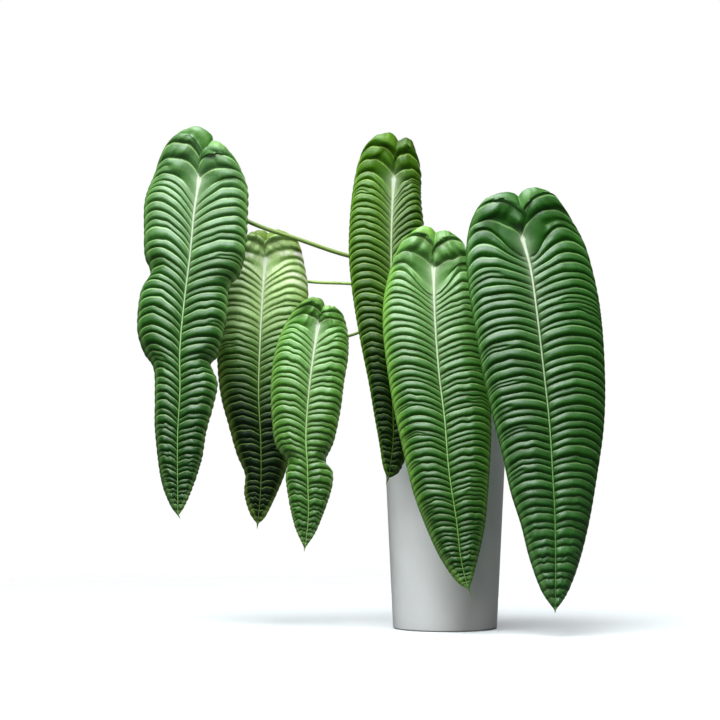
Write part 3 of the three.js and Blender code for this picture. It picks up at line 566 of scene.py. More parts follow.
def blade(number):
    """A leaf blade as one closed sheet: front and back have the same faces, and a rim joins them."""
    leaf = LEAVES[number]
    rng = np.random.default_rng(leaf["seed"])
    rows = rib_rows(leaf, rng)
    halves = [half_blade(leaf, side, rows, rng) for side in (LEFT, RIGHT)]
    joint_row = len(leaf["lobes"]) * BLADE["rows_per_rib"]
    n_rows, n_cols = halves[0]["raised"].shape

    # The two halves share the midrib's points, and the last row is the tip.
    index = np.arange(2 * n_rows * n_cols).reshape(2, n_rows, n_cols)
    index[RIGHT, joint_row:, 0] = index[LEFT, joint_row:, 0]
    index[:, -1, :] = index[LEFT, -1, 0]
    a, b = index[:, :-1, :-1], index[:, :-1, 1:]
    c, d = index[:, 1:, 1:], index[:, 1:, :-1]
    quads = np.stack([a, d, c, b], -1)
    quads[LEFT] = quads[LEFT][..., ::-1]
    faces = [list(dict.fromkeys(q)) for q in quads.reshape(-1, 4).tolist()]
    faces = [f for f in faces if len(f) > 2]

    values = {key: np.stack([h[key] for h in halves]).reshape(index.size, -1) for key in halves[0]}
    points, raised = values.pop("points"), values.pop("raised")
    forward = np.array([0, -1, 0])
    front = points + forward * (BLADE["thickness"] / 2 + BLADE["midrib_front"] * raised)
    rear = points - forward * (BLADE["thickness"] / 2 + BLADE["midrib_back"] * raised)
    points = np.vstack([front, rear]) + np.array(leaf["joint"])
    values = {key: np.vstack([v, v]) for key, v in values.items()}
    values["leaf_back"] = np.repeat([(0, 0, 0), (1, 0, 0)], index.size, axis=0)

    # Points that no face uses any more are left out.
    faces = closed_sheet(faces, index.size)
    used = np.unique(np.concatenate(faces))
    renumber = np.full(len(points), -1)
    renumber[used] = np.arange(len(used))
    faces = [renumber[f].tolist() for f in faces]
    return new_mesh(f"leaf_{number}", points[used], faces, {key: v[used] for key, v in values.items()})


# Swept pieces: leaf stalks and air roots

def sweep(name, path, radius_at, sides, steps):
    """A round sweep along a path. Its values hold the share along it and how far up its skin faces."""
    share = np.linspace(0, 1, steps + 1)
    centre = path.at(share)
    ahead = np.gradient(centre, axis=0)
    ahead /= np.linalg.norm(ahead, axis=1, keepdims=True)
    across = np.cross(ahead, (0, 0, 1.0))
    across /= np.maximum(np.linalg.norm(across, axis=1, keepdims=True), 1e-6)
    over = np.cross(across, ahead)
    turn = full_turn(sides)[None, :, None]
    ring = across[:, None] * np.cos(turn) + over[:, None] * np.sin(turn)
    radius = radius_at(share[:, None], turn[..., 0])
    skin = ring_triples(np.repeat(share, sides), ring[..., 2], [0, 1])
    return tube(name, centre[:, None] + ring * radius[..., None], centre[[0, -1]], {"skin": skin})


def stalk(number):
    radius, route = STALKS[number]
    x, y, z = LEAVES[number]["joint"]
    bend = [(x, y + 22, z + 1), (x, y + 12, z + 2), (x, y + 1.5, z - STALK["below"])]
    path = Path(route + bend, eased=True)
    rng = np.random.default_rng(SEEDS["stalk"] + int(number))
    ripple = soft_noise(rng, (STALK["steps"] + 1, STALK["sides"]), (30, 4))

    def radius_at(share, turn):
        from_end = (share - 1) * path.length
        base = (STALK["base_swell"] - 1) * (1 - smooth(share * path.length / STALK["base_length"]))
        joint = (STALK["joint_swell"] - 1) * smooth(from_end / STALK["joint_length"] + 1.4)
        pleats = 0.03 * np.sin(0.9 * share * path.length) * smooth(from_end / 20 + 1)
        groove = -0.05 * np.exp(-((turn - np.pi / 2) / 0.5) ** 2)
        return radius * (1 + base + joint + pleats + groove + 0.03 * ripple)

    return sweep(f"stalk_{number}_skin", path, radius_at, STALK["sides"], STALK["steps"])


def air_root(index):
    angle = index * 2.4
    reach = ROOTS["reach"] + 9 * math.sin(3.1 * index)
    height = ROOTS["start"] - 14 * ((index * 0.37) % 1)
    low = SOIL["top"] - ROOTS["depth"] + 12
    marks = [(STEM["radius"] * 0.5, height, 0), (reach * 0.72, height - 8, 0.05),
             (reach, SOIL["top"] + 4, 0.12), (reach * 1.05, low, 0.16)]
    path = Path([(r * math.cos(angle + turn), r * math.sin(angle + turn), z) for r, z, turn in marks])
    rng = np.random.default_rng(SEEDS["root"] + index)
    knots = soft_noise(rng, (ROOTS["steps"] + 1, ROOTS["sides"]), (9, 3))

    def radius_at(share, turn):
        return ROOTS["radius"] * (1.05 - 0.15 * share + 0.1 * knots)

    return sweep(f"air_root_{index + 1}", path, radius_at, ROOTS["sides"], ROOTS["steps"])


# Stem and dry scales

def stem_body():
    sides, steps = STEM["sides"], STEM["steps"]
    rng = np.random.default_rng(SEEDS["stem"])
    share = np.linspace(0, 1, steps + 1)[:, None]
    z = mix(STEM["foot"], STEM["top"], share)
    scars = 0.5 + 0.5 * np.cos(2 * np.pi * share * STEM["nodes"])
    bud = smooth((share - 0.93) / 0.07)
    radius = STEM["radius"] + STEM["node_swell"] * scars**4 - STEM["bud_taper"] * bud
    radius = radius + 0.7 * soft_noise(rng, (steps + 1, sides), (26, 9))
    skin = ring_triples(np.repeat(share, sides), np.repeat(scars, sides), [0, 1])
    ends = [(0, 0, STEM["foot"]), (0, 0, STEM["bud_top"])]
    return tube("stem_body", lathe(radius, z, full_turn(sides)), ends, {"skin": skin})


def dry_scale(index):
    """A papery scale that hugs the stem at its foot, leans out and ends in split fibres."""
    rows, columns = 41, 29
    rng = np.random.default_rng(SEEDS["scale"] + index)
    t = np.linspace(0, 1, rows)[:, None]
    s = np.linspace(-1, 1, columns)[None, :]
    ragged = 1 + 0.1 * soft_noise(rng, (rows, columns), (1, 14)) * t**3
    crumple = 0.7 * soft_noise(rng, (rows, columns), (6, 7)) * t
    turn = 0.9 + index * 2.2 + s * SCALES["half_angle"] * (1 - 0.9 * t**2)
    radius = STEM["radius"] + 0.9 + SCALES["lean"] * t**2 + crumple + 1.2 * s**2 * t
    foot = SCALES["lowest"] + index * SCALES["spacing"]
    height = foot + SCALES["height"] * t * ragged * (1 - 0.12 * s**2 * t)
    half = SCALES["thickness"] / 2
    points = np.vstack([lathe(radius + offset, height, turn).reshape(-1, 3) for offset in (-half, half)])
    faces = closed_sheet([[a, d, c, b] for a, b, c, d in grid_faces(rows, columns)], rows * columns)
    along, side = (np.tile((v * np.ones((rows, columns))).ravel(), 2) for v in (t, s))
    skin = np.stack([along, side, np.zeros_like(along)], 1)
    return new_mesh(f"dry_scale_{index + 1}", points, faces, {"skin": skin})


# Potting mix

def pot_inner(z):
    """The radius of the pot's inside at a height."""
    top, band = POT["rim_radius"] - POT["band_out"], POT["height"] - POT["band_height"]
    return mix(POT["foot_radius"], top, z / band) - POT["wall"]


def soil_height(share):
    """How high the mix lies, for the share of the way from the middle to the wall."""
    return SOIL["top"] - 2 - SOIL["dip"] * share**3


def soil_bed():
    """The mix below the loose pieces: a lumpy top on a plain plug."""
    sides, rings = SOIL["sides"], SOIL["rings"]
    rng = np.random.default_rng(SEEDS["soil"])
    turn, floor = full_turn(sides), POT["floor"] + 1
    edge, low = pot_inner(SOIL["top"]) - 0.6, pot_inner(POT["floor"]) - 0.6
    lumps = soft_noise(rng, (rings + 1, sides), (12, 22))
    lumps = mix(lumps, lumps[:, ::-1], smooth(np.abs(turn / np.pi - 1))[None, :])
    share = (np.arange(rings, 0, -1) / rings)[:, None]
    top = lathe(edge * share, soil_height(share) + SOIL["lump"] * lumps[:0:-1], turn)
    points = np.concatenate([lathe(np.array([[low]]), floor, turn), top])
    return tube("soil_bed", points, [(0, 0, floor), (0, 0, soil_height(0))])


def spin(yaw, pitch, roll):
    """The matrix that turns a lump about Z, Y and X."""
    cy, sy, cp, sp, cr, sr = (f(v) for v in (yaw, pitch, roll) for f in (math.cos, math.sin))
    about_z = np.array([[cy, -sy, 0], [sy, cy, 0], [0, 0, 1]])
    about_y = np.array([[cp, 0, sp], [0, 1, 0], [-sp, 0, cp]])
    about_x = np.array([[1, 0, 0], [0, cr, -sr], [0, sr, cr]])
    return about_z @ about_y @ about_x


def loose_pieces(name, count, sizes, flatness, seed, roundness):
    """Chips or grains strewn over the mix, as one mesh of small lumps, each with a tone of its own."""
    rng = np.random.default_rng(seed)
    template = bmesh.new()
    bmesh.ops.create_icosphere(template, subdivisions=2, radius=1)
    ball = np.array([v.co[:] for v in template.verts])
    triangles = np.array([[v.index for v in f.verts] for f in template.faces])
    template.free()
    points, faces, tones = [], [], []
    edge = pot_inner(SOIL["top"]) - 1
    for i in range(count):
        size = rng.uniform(*sizes)
        shape = size * np.array([1, rng.uniform(0.45, 0.9), rng.uniform(*flatness)])
        lump = np.sign(ball) * np.abs(ball) ** roundness
        lump = lump * shape * (1 + 0.16 * rng.normal(size=(len(ball), 1)))
        lump = lump @ spin(rng.uniform(0, 2 * math.pi), rng.normal(0, 0.3), rng.normal(0, 0.3)).T
        reach = np.abs(lump[:, :2]).max() * 1.2
        r = max(STEM["radius"] + 2 + reach * 0.4, (edge - reach) * math.sqrt(rng.uniform(0.02, 1)))
        turn = rng.uniform(0, 2 * math.pi)
        rest = soil_height(r / edge) + rng.uniform(-0.3, 0.7) * size * 0.5
        points.append(lump + (r * math.cos(turn), r * math.sin(turn), rest))
        faces += (triangles + i * len(ball)).tolist()
        tones.append(np.full((len(ball), 3), rng.uniform(0, 1)))
    return new_mesh(name, np.vstack(points), faces, {"skin": np.vstack(tones)})


# Pot

def pot_profile():
    """The pot's outline as radius and height, from the foot's centre up the outside and down the inside."""
    height, edge, band = POT["height"], POT["edge_round"], POT["height"] - POT["band_height"]
    outer, foot, rim = pot_inner(band) + POT["wall"], POT["foot_radius"], POT["rim_radius"]

    def corner(x, z, start, end, r=edge, steps=6):
        return [(x + r * math.cos(a), z + r * math.sin(a)) for a in np.linspace(start, end, steps)]

    down, right, up, left = -math.pi / 2, 0, math.pi / 2, math.pi
    profile = corner(foot - edge, edge, down, right)
    profile += [(mix(foot, outer, t), mix(edge, band, t)) for t in np.linspace(0.06, 0.97, 16)]
    profile += corner(outer + 1.2, band, left, up, 1.2, 3)[:2]
    profile += corner(rim - 1.5, band + 3, down, right, 1.5)
    profile += corner(rim - edge, height - edge, right, up)
    profile += corner(pot_inner(band) + edge, height - edge, up, left)
    return np.array(profile + [(pot_inner(z), z) for z in np.linspace(band, POT["floor"], 8)])


def pot_body():
    """The pot turned on a lathe, with its drain holes cut."""
    profile = pot_profile()
    rings = lathe(profile[:, :1], profile[:, 1:], full_turn(POT["sides"]))
    body = tube("pot_body", rings, [(0, 0, 0), (0, 0, POT["floor"])])
    for i in range(POT["drain_count"]):
        angle = 2 * math.pi * (i + 0.5) / POT["drain_count"]
        place = Vector((math.cos(angle), math.sin(angle), 0)) * POT["drain_ring"] * MM
        radius = POT["drain_radius"] * MM
        bpy.ops.mesh.primitive_cylinder_add(vertices=32, radius=radius, depth=0.06, location=place)
        drill = bpy.context.object
        cut = body.modifiers.new("drain", "BOOLEAN")
        cut.operation, cut.object, cut.solver = "DIFFERENCE", drill, "EXACT"
        bpy.context.view_layer.objects.active = body
        bpy.ops.object.modifier_apply(modifier=cut.name)
        bpy.data.objects.remove(drill)
    body.data.set_sharp_from_angle(angle=math.radians(40))
    return body


# Shader nodes

def colour(*rgb):
    return (*rgb, 1.0)


class Wiring:
    """Short forms for making and joining shader nodes in one tree."""

    def __init__(self, tree):
        self.nodes, self.links = tree.nodes, tree.links

    def put(self, kind, **settings):
        node = self.nodes.new(kind)
        for key, value in settings.items():
            setattr(node, key, value)
        return node

    def set(self, socket, value):
        if isinstance(value, bpy.types.NodeSocket):
            self.links.new(value, socket)
        else:
            socket.default_value = value

    def group(self, tree, **values):
        """A node of that group. Each value is named after its input, such as edge_width for Edge Width."""
        node = self.put("ShaderNodeGroup", node_tree=tree)
        for key, value in values.items():
            value = colour(*value) if isinstance(value, tuple) else value
            self.set(node.inputs[key.replace("_", " ").title()], value)
        return node.outputs

    def math(self, operation, *values):
        node = self.put("ShaderNodeMath", operation=operation)
        for socket, value in zip(node.inputs, values):
            self.set(socket, value)
        return node.outputs[0]

    def times(self, first, *others):
        for value in others:
            first = self.math("MULTIPLY", first, value)
        return first

    def linear(self, value, start, slope):
        """start + slope * value"""
        return self.math("ADD", start, self.times(value, slope))

    def clamp01(self, value):
        node = self.put("ShaderNodeClamp")
        self.set(node.inputs[0], value)
        return node.outputs[0]

    def range(self, value, low, high, out_low=0.0, out_high=1.0):
        """A smooth step from out_low to out_high, while the value goes from low to high."""
        node = self.put("ShaderNodeMapRange", interpolation_type="SMOOTHSTEP")
        for socket, v in zip(node.inputs, (value, low, high, out_low, out_high)):
            self.set(socket, v)
        return node.outputs[0]

    def mix(self, factor, a, b, blend="MIX"):
        node = self.put("ShaderNodeMix", data_type="RGBA", blend_type=blend)
        for socket, value in ((0, factor), (6, a), (7, b)):
            self.set(node.inputs[socket], value)
        return node.outputs[2]

    def mix_number(self, factor, a, b):
        node = self.put("ShaderNodeMix", data_type="FLOAT")
        for socket, value in ((0, factor), (2, a), (3, b)):
            self.set(node.inputs[socket], value)
        return node.outputs[0]

    def grey(self, value):
        node = self.put("ShaderNodeCombineColor")
        for socket in node.inputs:
            self.set(socket, value)
        return node.outputs[0]

    def noise(self, where, scale, detail=4.0, rough=0.55):
        node = self.put("ShaderNodeTexNoise")
        for key, value in (("Vector", where), ("Scale", scale), ("Detail", detail), ("Roughness", rough)):
            self.set(node.inputs[key], value)
        return node.outputs["Fac"]

    def triple(self, name):
        """The three numbers of a value that was painted on the mesh."""
        node = self.put("ShaderNodeAttribute", attribute_name=name)
        split = self.put("ShaderNodeSeparateXYZ")
        self.set(split.inputs[0], node.outputs["Vector"])
        return split.outputs[:3]

    def here(self):
        return self.put("ShaderNodeTexCoord").outputs["Object"]

    def seen(self):
        return self.put("ShaderNodeLightPath").outputs["Is Camera Ray"]

    def bump(self, height, strength, distance):
        node = self.put("ShaderNodeBump")
        for key, value in (("Height", height), ("Strength", strength), ("Distance", distance)):
            self.set(node.inputs[key], value)
        return node.outputs[0]


def new_group(name, colours, numbers, outputs):
    """An empty node group with those colours and numbers (each with its default) as inputs. Only the output
    called Color is a colour."""
    group = bpy.data.node_groups.new(name, "ShaderNodeTree")
    for label in colours:
        group.interface.new_socket(label, in_out="INPUT", socket_type="NodeSocketColor")
    for label, default in numbers.items():
        socket = group.interface.new_socket(label, in_out="INPUT", socket_type="NodeSocketFloat")
        socket.default_value = default
    for label in outputs:
        kind = "NodeSocketColor" if label == "Color" else "NodeSocketFloat"
        group.interface.new_socket(label, in_out="OUTPUT", socket_type=kind)
    wiring = Wiring(group)
    return group, wiring, wiring.put("NodeGroupInput").outputs, wiring.put("NodeGroupOutput").inputs


def leaf_tissue_group():
    """The colours and fine relief of a blade, from the values painted on it."""
    group, w, given, out = new_group(
        "leaf tissue",
        ("Top", "Middle", "Tip", "Vein", "Midrib Top", "Midrib Tip", "Left Edge", "Right Edge",
         "Underside"),
        {"Edge Width": 0.2, "Halo": 0.6, "Tip Tone And Shade Start": 0.5, "Tip Tone And Shade End": 0.95, "Tip Shine": 1.0,
         "Shine": 1.0, "Bleach": 0.0, "Right Shade": 1.0},
        ("Color", "Roughness", "Height", "Shine"))
    across, down, tone = w.triple("leaf_place")
    crest, slope, share = w.triple("leaf_rib")
    ridge, halo, collective = w.triple("leaf_vein")
    back = w.triple("leaf_back")[0]
    where, from_mid = w.here(), w.math("ABSOLUTE", across)

    # The colour changes down the blade, in soft blotches, and turns to the tip's colour towards the tip.
    # On leaves 2 and 4 that darker tip colour is painted shade.
    place = w.math("ADD", down, w.linear(w.noise(where, 18.0, 3.0), -0.125, 0.25))
    body = w.mix(w.range(place, 0.05, 0.45), given["Top"], given["Middle"])
    tip_tone_and_shade = w.range(place, given["Tip Tone And Shade Start"], given["Tip Tone And Shade End"])
    body = w.mix(tip_tone_and_shade, body, given["Tip"])

    # The margins are paler, the left and the right one each in its own colour. Leaf 4's darker right margin
    # is painted shade.
    ragged = w.linear(w.noise(where, 45.0, 3.0), -0.25, 0.5)
    outward = w.linear(ragged, from_mid, given["Edge Width"])
    outward = w.math("ADD", outward, w.range(down, 0.9, 1.01, 0.0, 0.7))
    at_edge = w.range(outward, w.math("SUBTRACT", 1.0, given["Edge Width"]), 1.02)
    at_edge = w.times(at_edge, w.range(down, 1.0, 0.6, 0.7, 1.0))
    body = w.mix(at_edge, body, w.mix(w.range(across, -0.1, 0.1), given["Left Edge"], given["Right Edge"]))

    # Painted highlight: whitish patches on the sides of the upper ribs that face up.
    high = w.times(w.range(down, 0.03, 0.07), w.range(down, 0.22, 0.11))
    patches = w.range(w.linear(tone, w.noise(where, 34.0, 2.0), 0.12), 0.4, 0.56)
    highlight_patches = w.times(high, w.range(from_mid, 0.3, 0.85, 0.25, 1.0), patches, w.range(slope, -0.5, 0.6))
    body = w.mix(w.times(highlight_patches, given["Bleach"]), body, colour(0.8, 0.74, 0.66))

    # Each rib has its own tone, and fine veins run across it from its upper crease to its lower one.
    crossing = w.put("ShaderNodeCombineXYZ")
    w.set(crossing.inputs[0], w.times(across, 36.0))
    w.set(crossing.inputs[1], w.times(tone, 29.0))
    streak = w.noise(crossing.outputs[0], 1.0, 3.0, 0.6)
    speckle = w.linear(w.noise(where, 260.0, 4.0), 0.7, 0.6)
    shade = w.times(w.linear(tone, 1.0, 0.1), speckle, w.linear(streak, 0.75, 0.5))
    # Painted shade on the right half where Right Shade is below 1, and painted light where it is above 1.
    shade = w.times(shade, w.mix_number(w.range(across, -0.1, 0.3), 1.0, given["Right Shade"]))
    body = w.mix(1.0, body, w.grey(shade), "MULTIPLY")

    # Pale lines mark the veins. The side of a rib that faces down gets a darker, greener painted shade, and
    # where a tip is painted in shade its veins and midrib are dulled towards the middle colour.
    dull = w.times(tip_tone_and_shade, w.clamp01(w.math("SUBTRACT", 1.0, given["Tip Shine"])))
    vein = w.mix(w.times(dull, 0.7), given["Vein"], given["Middle"])
    line = w.times(w.range(crest, 0.42, 0.05), w.range(slope, -0.05, 0.2))
    line = w.times(line, w.range(share, 0.1, 0.5, 0.2, 1.0))
    body = w.mix(line, body, vein)
    shadow = w.mix(1.0, body, colour(0.3, 0.55, 0.25), "MULTIPLY")
    body = w.mix(w.times(w.range(slope, 0.0, -1.0), 0.55), body, shadow)
    body = w.mix(w.times(collective, 0.3), body, vein)

    # The midrib is pale on both faces, and the tissue beside it a little, round the joint.
    midrib = w.mix(w.range(down, 0.1, 0.75), given["Midrib Top"], given["Midrib Tip"])
    midrib = w.mix(w.times(dull, 0.75), midrib, given["Middle"])
    body = w.mix(w.times(halo, given["Halo"]), body, w.mix(0.6, given["Vein"], midrib))
    body = w.mix(w.range(ridge, 0.15, 0.75), body, midrib)
    under = w.mix(w.times(line, 0.8), given["Underside"], given["Vein"])
    under = w.mix(w.range(ridge, 0.1, 0.6), under, midrib)
    w.set(out["Color"], w.mix(back, body, under))

    # Fine cross veins and a pebbled skin between them.
    net = w.put("ShaderNodeTexVoronoi", feature="DISTANCE_TO_EDGE")
    w.set(net.inputs["Vector"], where)
    w.set(net.inputs["Scale"], 420.0)
    pebbles = w.range(net.outputs["Distance"], 0.0, 0.3)
    dents = w.noise(where, 130.0, 3.0)
    height = w.linear(w.noise(where, 900.0, 3.0), w.times(pebbles, 0.35), 0.2)
    w.set(out["Height"], w.linear(streak, w.linear(dents, height, 1.4), 1.5))
    w.set(out["Roughness"], w.mix_number(back, w.linear(dents, 0.27, 0.2), 0.62))

    # The sides of the ribs that face up shine, in some places more than in others.
    shine = w.times(w.range(slope, -0.7, 0.3, 0.0, 1.2), w.range(back, 0.0, 1.0, 1.0, 0.3), given["Shine"])
    patch = w.range(w.noise(where, 38.0, 3.0), 0.3, 0.65, 0.6, 1.15)
    shine = w.times(shine, w.linear(tone, 0.8, 0.3), patch, w.mix_number(tip_tone_and_shade, 1.0, given["Tip Shine"]))
    w.set(out["Shine"], w.clamp01(shine))
    return group


def surface_grain_group():
    """A fine uneven surface: a colour and a relief from two sizes of noise."""
    group, w, given, out = new_group(
        "surface grain", ("Color", "Dark"), {"Scale": 60.0, "Amount": 0.4}, ("Color", "Height"))
    coarse = w.noise(w.here(), given["Scale"], 5.0, 0.6)
    fine = w.noise(w.here(), w.times(given["Scale"], 7.0), 3.0)
    spots = w.times(w.range(coarse, 0.35, 0.7), given["Amount"])
    w.set(out["Color"], w.mix(spots, given["Color"], given["Dark"]))
    w.set(out["Height"], w.linear(fine, w.times(coarse, 0.7), 0.3))
    return group


# Materials

# The colours of each leaf and how it shines. pale is for the midrib at the joint, the start and end for the
# tip are where the tip's colour sets in, and halo how far the vein colour spreads round the joint. The rest
# are shares too.
LEAF_COLOURS = {
    "1": dict(
        top=(0.078, 0.185, 0.05), middle=(0.026, 0.105, 0.012), tip=(0.009, 0.06, 0.003),
        left_edge=(0.04, 0.15, 0.015), right_edge=(0.12, 0.28, 0.05), vein=(0.3, 0.5, 0.16),
        edge_width=0.25, halo=0.7, tip_tone_and_shade_start=0.4, tip_shine=0.8, pale=1.05),
    # Leaf 2: its dark tip, with its veins and midrib dulled there, is painted shade. Its whitish patches on
    # the upper ribs are painted highlight, and its pale top and pale midrib at the joint are partly its own
    # colour and partly painted highlight.
    "2": dict(
        top=(0.5, 0.7, 0.25), middle=(0.055, 0.16, 0.015), tip=(0.002, 0.014, 0.0005),
        left_edge=(0.19, 0.3, 0.035), right_edge=(0.2, 0.32, 0.04), vein=(0.38, 0.52, 0.15),
        edge_width=0.32, halo=0.9, tip_tone_and_shade_start=0.34, tip_tone_and_shade_end=0.62, tip_shine=0.1, shine=0.7, bleach=1.0,
        pale=1.6),
    "3": dict(
        top=(0.095, 0.26, 0.034), middle=(0.07, 0.2, 0.022), tip=(0.035, 0.14, 0.014),
        left_edge=(0.16, 0.34, 0.05), right_edge=(0.16, 0.34, 0.04), vein=(0.36, 0.58, 0.18),
        edge_width=0.25, halo=0.8, tip_shine=1.15, shine=0.85, pale=1.2),
    # Leaf 4: its dark tip, with its veins and midrib dulled there, its dark right margin and its right half
    # darkened by right_shade are painted shade.
    "4": dict(
        top=(0.055, 0.15, 0.003), middle=(0.031, 0.092, 0.002), tip=(0.004, 0.022, 0.0002),
        left_edge=(0.06, 0.16, 0.004), right_edge=(0.03, 0.085, 0.002), vein=(0.26, 0.42, 0.06),
        halo=0.95, tip_tone_and_shade_start=0.4, tip_tone_and_shade_end=0.76, tip_shine=0.1, shine=0.4, right_shade=0.75, pale=1.15),
    "5": dict(
        top=(0.105, 0.25, 0.052), middle=(0.03, 0.125, 0.01), tip=(0.018, 0.09, 0.005),
        left_edge=(0.17, 0.39, 0.04), right_edge=(0.08, 0.25, 0.015), vein=(0.3, 0.5, 0.14),
        edge_width=0.32, halo=0.8, tip_shine=0.9, pale=1.4),
    # Leaf 6: right_shade above 1 lightens its right half with painted light.
    "6": dict(
        top=(0.021, 0.1, 0.009), middle=(0.017, 0.088, 0.006), tip=(0.032, 0.135, 0.02),
        left_edge=(0.02, 0.11, 0.01), right_edge=(0.035, 0.14, 0.012), vein=(0.22, 0.42, 0.12),
        edge_width=0.16, halo=0.7, tip_shine=1.3, shine=1.05, right_shade=1.12, pale=1.35),
}

# Surfaces from the shared grain: colour, darker colour, scale, share of the darker one, roughness and how
# high the grain stands, in metres.
SURFACES = {
    "stalk skin": ((0.24, 0.38, 0.07), (0.1, 0.17, 0.03), 160.0, 0.55, 0.42, 0.0002),
    "stalk skin dark": ((0.14, 0.22, 0.035), (0.1, 0.17, 0.03), 160.0, 0.55, 0.42, 0.0002),
    "stem skin": ((0.14, 0.18, 0.05), (0.09, 0.06, 0.03), 90.0, 0.8, 0.7, 0.0006),
    "air root skin": ((0.42, 0.38, 0.27), (0.16, 0.11, 0.06), 120.0, 0.8, 0.8, 0.0005),
    "dry scale": ((0.36, 0.26, 0.14), (0.14, 0.085, 0.04), 140.0, 0.8, 0.85, 0.0004),
    "potting mix": ((0.03, 0.02, 0.013), (0.008, 0.006, 0.004), 170.0, 0.9, 0.95, 0.003),
    "bark chips": ((0.1, 0.05, 0.026), (0.028, 0.016, 0.01), 130.0, 0.6, 0.9, 0.0012),
    "perlite": ((0.75, 0.74, 0.7), (0.5, 0.48, 0.44), 260.0, 0.6, 0.95, 0.0006),
    "pot glaze": ((0.9, 0.89, 0.87), (0.82, 0.81, 0.78), 14.0, 0.5, 0.45, 0.00015),
}


def new_material(name):
    material = bpy.data.materials.new(name)
    material.use_nodes = True
    return material, Wiring(material.node_tree), material.node_tree.nodes["Principled BSDF"].inputs


def leaf_material(number, tissue):
    tints = dict(LEAF_COLOURS[number])
    pale = tints.pop("pale")
    tints["midrib_top"] = tuple(pale * v for v in (0.52, 0.56, 0.42))
    tints["midrib_tip"] = tuple(1.3 * v for v in tints["vein"])
    tints["underside"] = tuple(v * 2 + 0.03 for v in tints["middle"])
    material, w, skin = new_material(f"leaf tissue {number}")
    painted = w.group(tissue, **tints)
    w.set(skin["Base Color"], painted["Color"])
    w.set(skin["Roughness"], painted["Roughness"])
    w.set(skin["Normal"], w.bump(painted["Height"], 0.85, 0.0006))
    w.set(skin["Coat Weight"], painted["Shine"])
    w.set(skin["Coat Roughness"], 0.35)
    w.set(skin["Specular IOR Level"], 0.16)
    return material


def grain_material(name, grain):
    """A matte natural surface from the shared grain."""
    base, dark, scale, amount, roughness, relief = SURFACES[name]
    material, w, skin = new_material(name)
    painted = w.group(grain, color=base, dark=dark, scale=scale, amount=amount)
    w.set(skin["Base Color"], painted["Color"])
    w.set(skin["Normal"], w.bump(painted["Height"], 0.6, relief))
    w.set(skin["Roughness"], roughness)
    return material, w, painted["Color"], skin["Base Color"]


def toned_material(name, grain, pale):
    """The shared grain with each loose piece's own tone mixed in."""
    material, w, plain, base_color = grain_material(name, grain)
    tone = w.triple("skin")[0]
    w.set(base_color, w.mix(w.times(tone, 0.8), plain, colour(*pale)))
    return material


def stalk_material(name, grain, lit):
    """Painted light: lighter where the skin faces up. Duller at the foot of the stalk."""
    material, w, plain, base_color = grain_material(name, grain)
    along, up, _ = w.triple("skin")
    sunny = w.mix(w.range(up, -0.4, 0.7), plain, colour(*lit))
    w.set(base_color, w.mix(w.range(along, 0.1, 0.0), sunny, colour(0.2, 0.24, 0.08)))
    return material


def stem_material(grain):
    """Browner on the scars of fallen leaves, and green towards the bud."""
    material, w, plain, base_color = grain_material("stem skin", grain)
    along, ring, _ = w.triple("skin")
    scar = w.mix(w.range(ring, 0.7, 1.0), plain, colour(0.28, 0.22, 0.12))
    w.set(base_color, w.mix(w.range(along, 0.8, 1.0), scar, colour(0.22, 0.36, 0.08)))
    return material


def floor_material():
    """Pale, and clear beyond the ground round the pot, so that it runs into the backdrop with no line."""
    material, w, skin = new_material("studio floor")
    w.set(skin["Base Color"], w.mix(w.seen(), colour(0.1, 0.1, 0.1), colour(0.93, 0.93, 0.93)))
    w.set(skin["Roughness"], 0.9)
    distance = w.put("ShaderNodeVectorMath", operation="LENGTH")
    w.set(distance.inputs[0], w.here())
    w.set(skin["Alpha"], w.range(distance.outputs["Value"], 0.5, 1.5, 1.0, 0.0))
    return material


# Studio

def area_light(name, place, aim, size, power, tint):
    """A lamp of that size (width and height) that shines from its place towards its aim."""
    data = bpy.data.lights.new(name, "AREA")
    data.shape, data.energy, data.color = "RECTANGLE", power, tint
    data.size, data.size_y = size
    lamp = bpy.data.objects.new(name, data)
    lamp.location = place
    lamp.rotation_euler = (Vector(aim) - Vector(place)).to_track_quat("-Z", "Y").to_euler()
    bpy.context.scene.collection.objects.link(lamp)


def backdrop():
    """White to the camera, and a faint light that grows towards the top to everything else."""
    world = bpy.data.worlds.new("studio")
    bpy.context.scene.world = world
    world.use_nodes = True
    w = Wiring(world.node_tree)
    white, lit = w.put("ShaderNodeBackground"), world.node_tree.nodes["Background"]
    w.set(white.inputs["Color"], colour(1, 1, 1))
    w.set(lit.inputs["Color"], colour(0.88, 0.95, 1.0))
    height = w.put("ShaderNodeSeparateXYZ")
    w.set(height.inputs[0], w.put("ShaderNodeTexCoord").outputs["Generated"])
    w.set(lit.inputs["Strength"], w.range(height.outputs[2], 0.0, 0.95, 0.02, 0.3))
    blend = w.put("ShaderNodeMixShader")
    for socket, value in zip(blend.inputs, (w.seen(), lit.outputs[0], white.outputs[0])):
        w.set(socket, value)
    w.set(world.node_tree.nodes["World Output"].inputs["Surface"], blend.outputs[0])


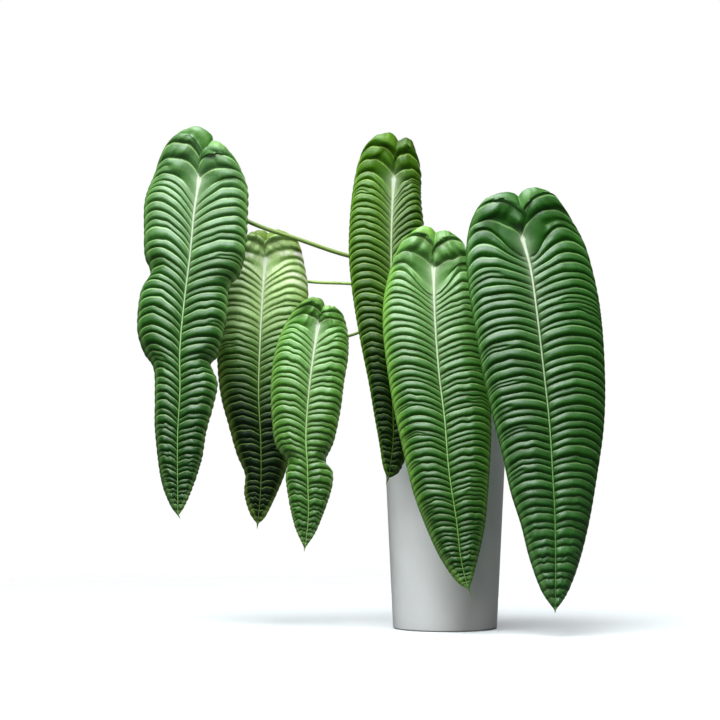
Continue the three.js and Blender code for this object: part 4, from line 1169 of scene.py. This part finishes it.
def studio():
    backdrop()
    area_light("sky", (-0.5, -0.95, 2.0), (-0.1, -0.1, 0.4), (2.0, 1.5), 92, (0.9, 0.97, 1.0))
    area_light("front", (-1.2, -3.2, 1.3), (-0.1, -0.1, 0.4), (1.2, 1.2), 13, (1.0, 0.99, 0.95))
    area_light("rear", (0.9, 1.8, 1.5), (-0.1, 0, 0.4), (1.2, 1.2), 16, (1.0, 1.0, 1.0))

    bpy.ops.mesh.primitive_circle_add(vertices=64, radius=2.5, fill_type="NGON")
    floor = bpy.context.object
    floor.name = "studio_floor"
    floor.data.materials.append(floor_material())

    # The photo's view is level and shows little perspective, so the camera stands far off with a long lens.
    scene = bpy.context.scene
    lens = bpy.data.cameras.new("camera")
    lens.type, lens.lens = "PERSP", CAMERA["lens"]
    lens.sensor_width, lens.clip_end = CAMERA["sensor"], CAMERA["far"]
    camera = bpy.data.objects.new("camera", lens)
    camera.location = CAMERA["place"]
    camera.rotation_euler = (math.radians(90), 0, 0)
    scene.collection.objects.link(camera)
    scene.camera = camera
    scene.view_settings.view_transform = "Standard"
    scene.view_settings.look = "None"


# The whole plant


def place_piece(piece, material, nodes):
    piece.data.materials.clear()
    piece.data.materials.append(material)
    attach(piece, "root")
    if nodes:
        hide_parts(*nodes)


def build():
    tissue, grain = leaf_tissue_group(), surface_grain_group()
    bright = stalk_material("stalk skin", grain, (0.36, 0.5, 0.12))
    dark = stalk_material("stalk skin dark", grain, (0.24, 0.33, 0.09))
    for number in LEAVES:
        place_piece(blade(number), leaf_material(number, tissue), [f"blade_{number}"])
        place_piece(stalk(number), bright if number == "2" else dark, [f"stalk_{number}"])

    place_piece(stem_body(), stem_material(grain), ["stem"])
    root_skin = grain_material("air root skin", grain)[0]
    for i in range(ROOTS["count"]):
        place_piece(air_root(i), root_skin, [])
    paper = grain_material("dry scale", grain)[0]
    for i in range(SCALES["count"]):
        place_piece(dry_scale(i), paper, [])

    place_piece(soil_bed(), grain_material("potting mix", grain)[0], ["soil"])
    bark = toned_material("bark chips", grain, (0.24, 0.14, 0.075))
    place_piece(loose_pieces("bark_chips", **BARK), bark, [])
    perlite = toned_material("perlite", grain, (0.85, 0.84, 0.8))
    place_piece(loose_pieces("perlite_grains", **PERLITE), perlite, [])
    place_piece(pot_body(), grain_material("pot glaze", grain)[0], ["pot"])


studio()
build()
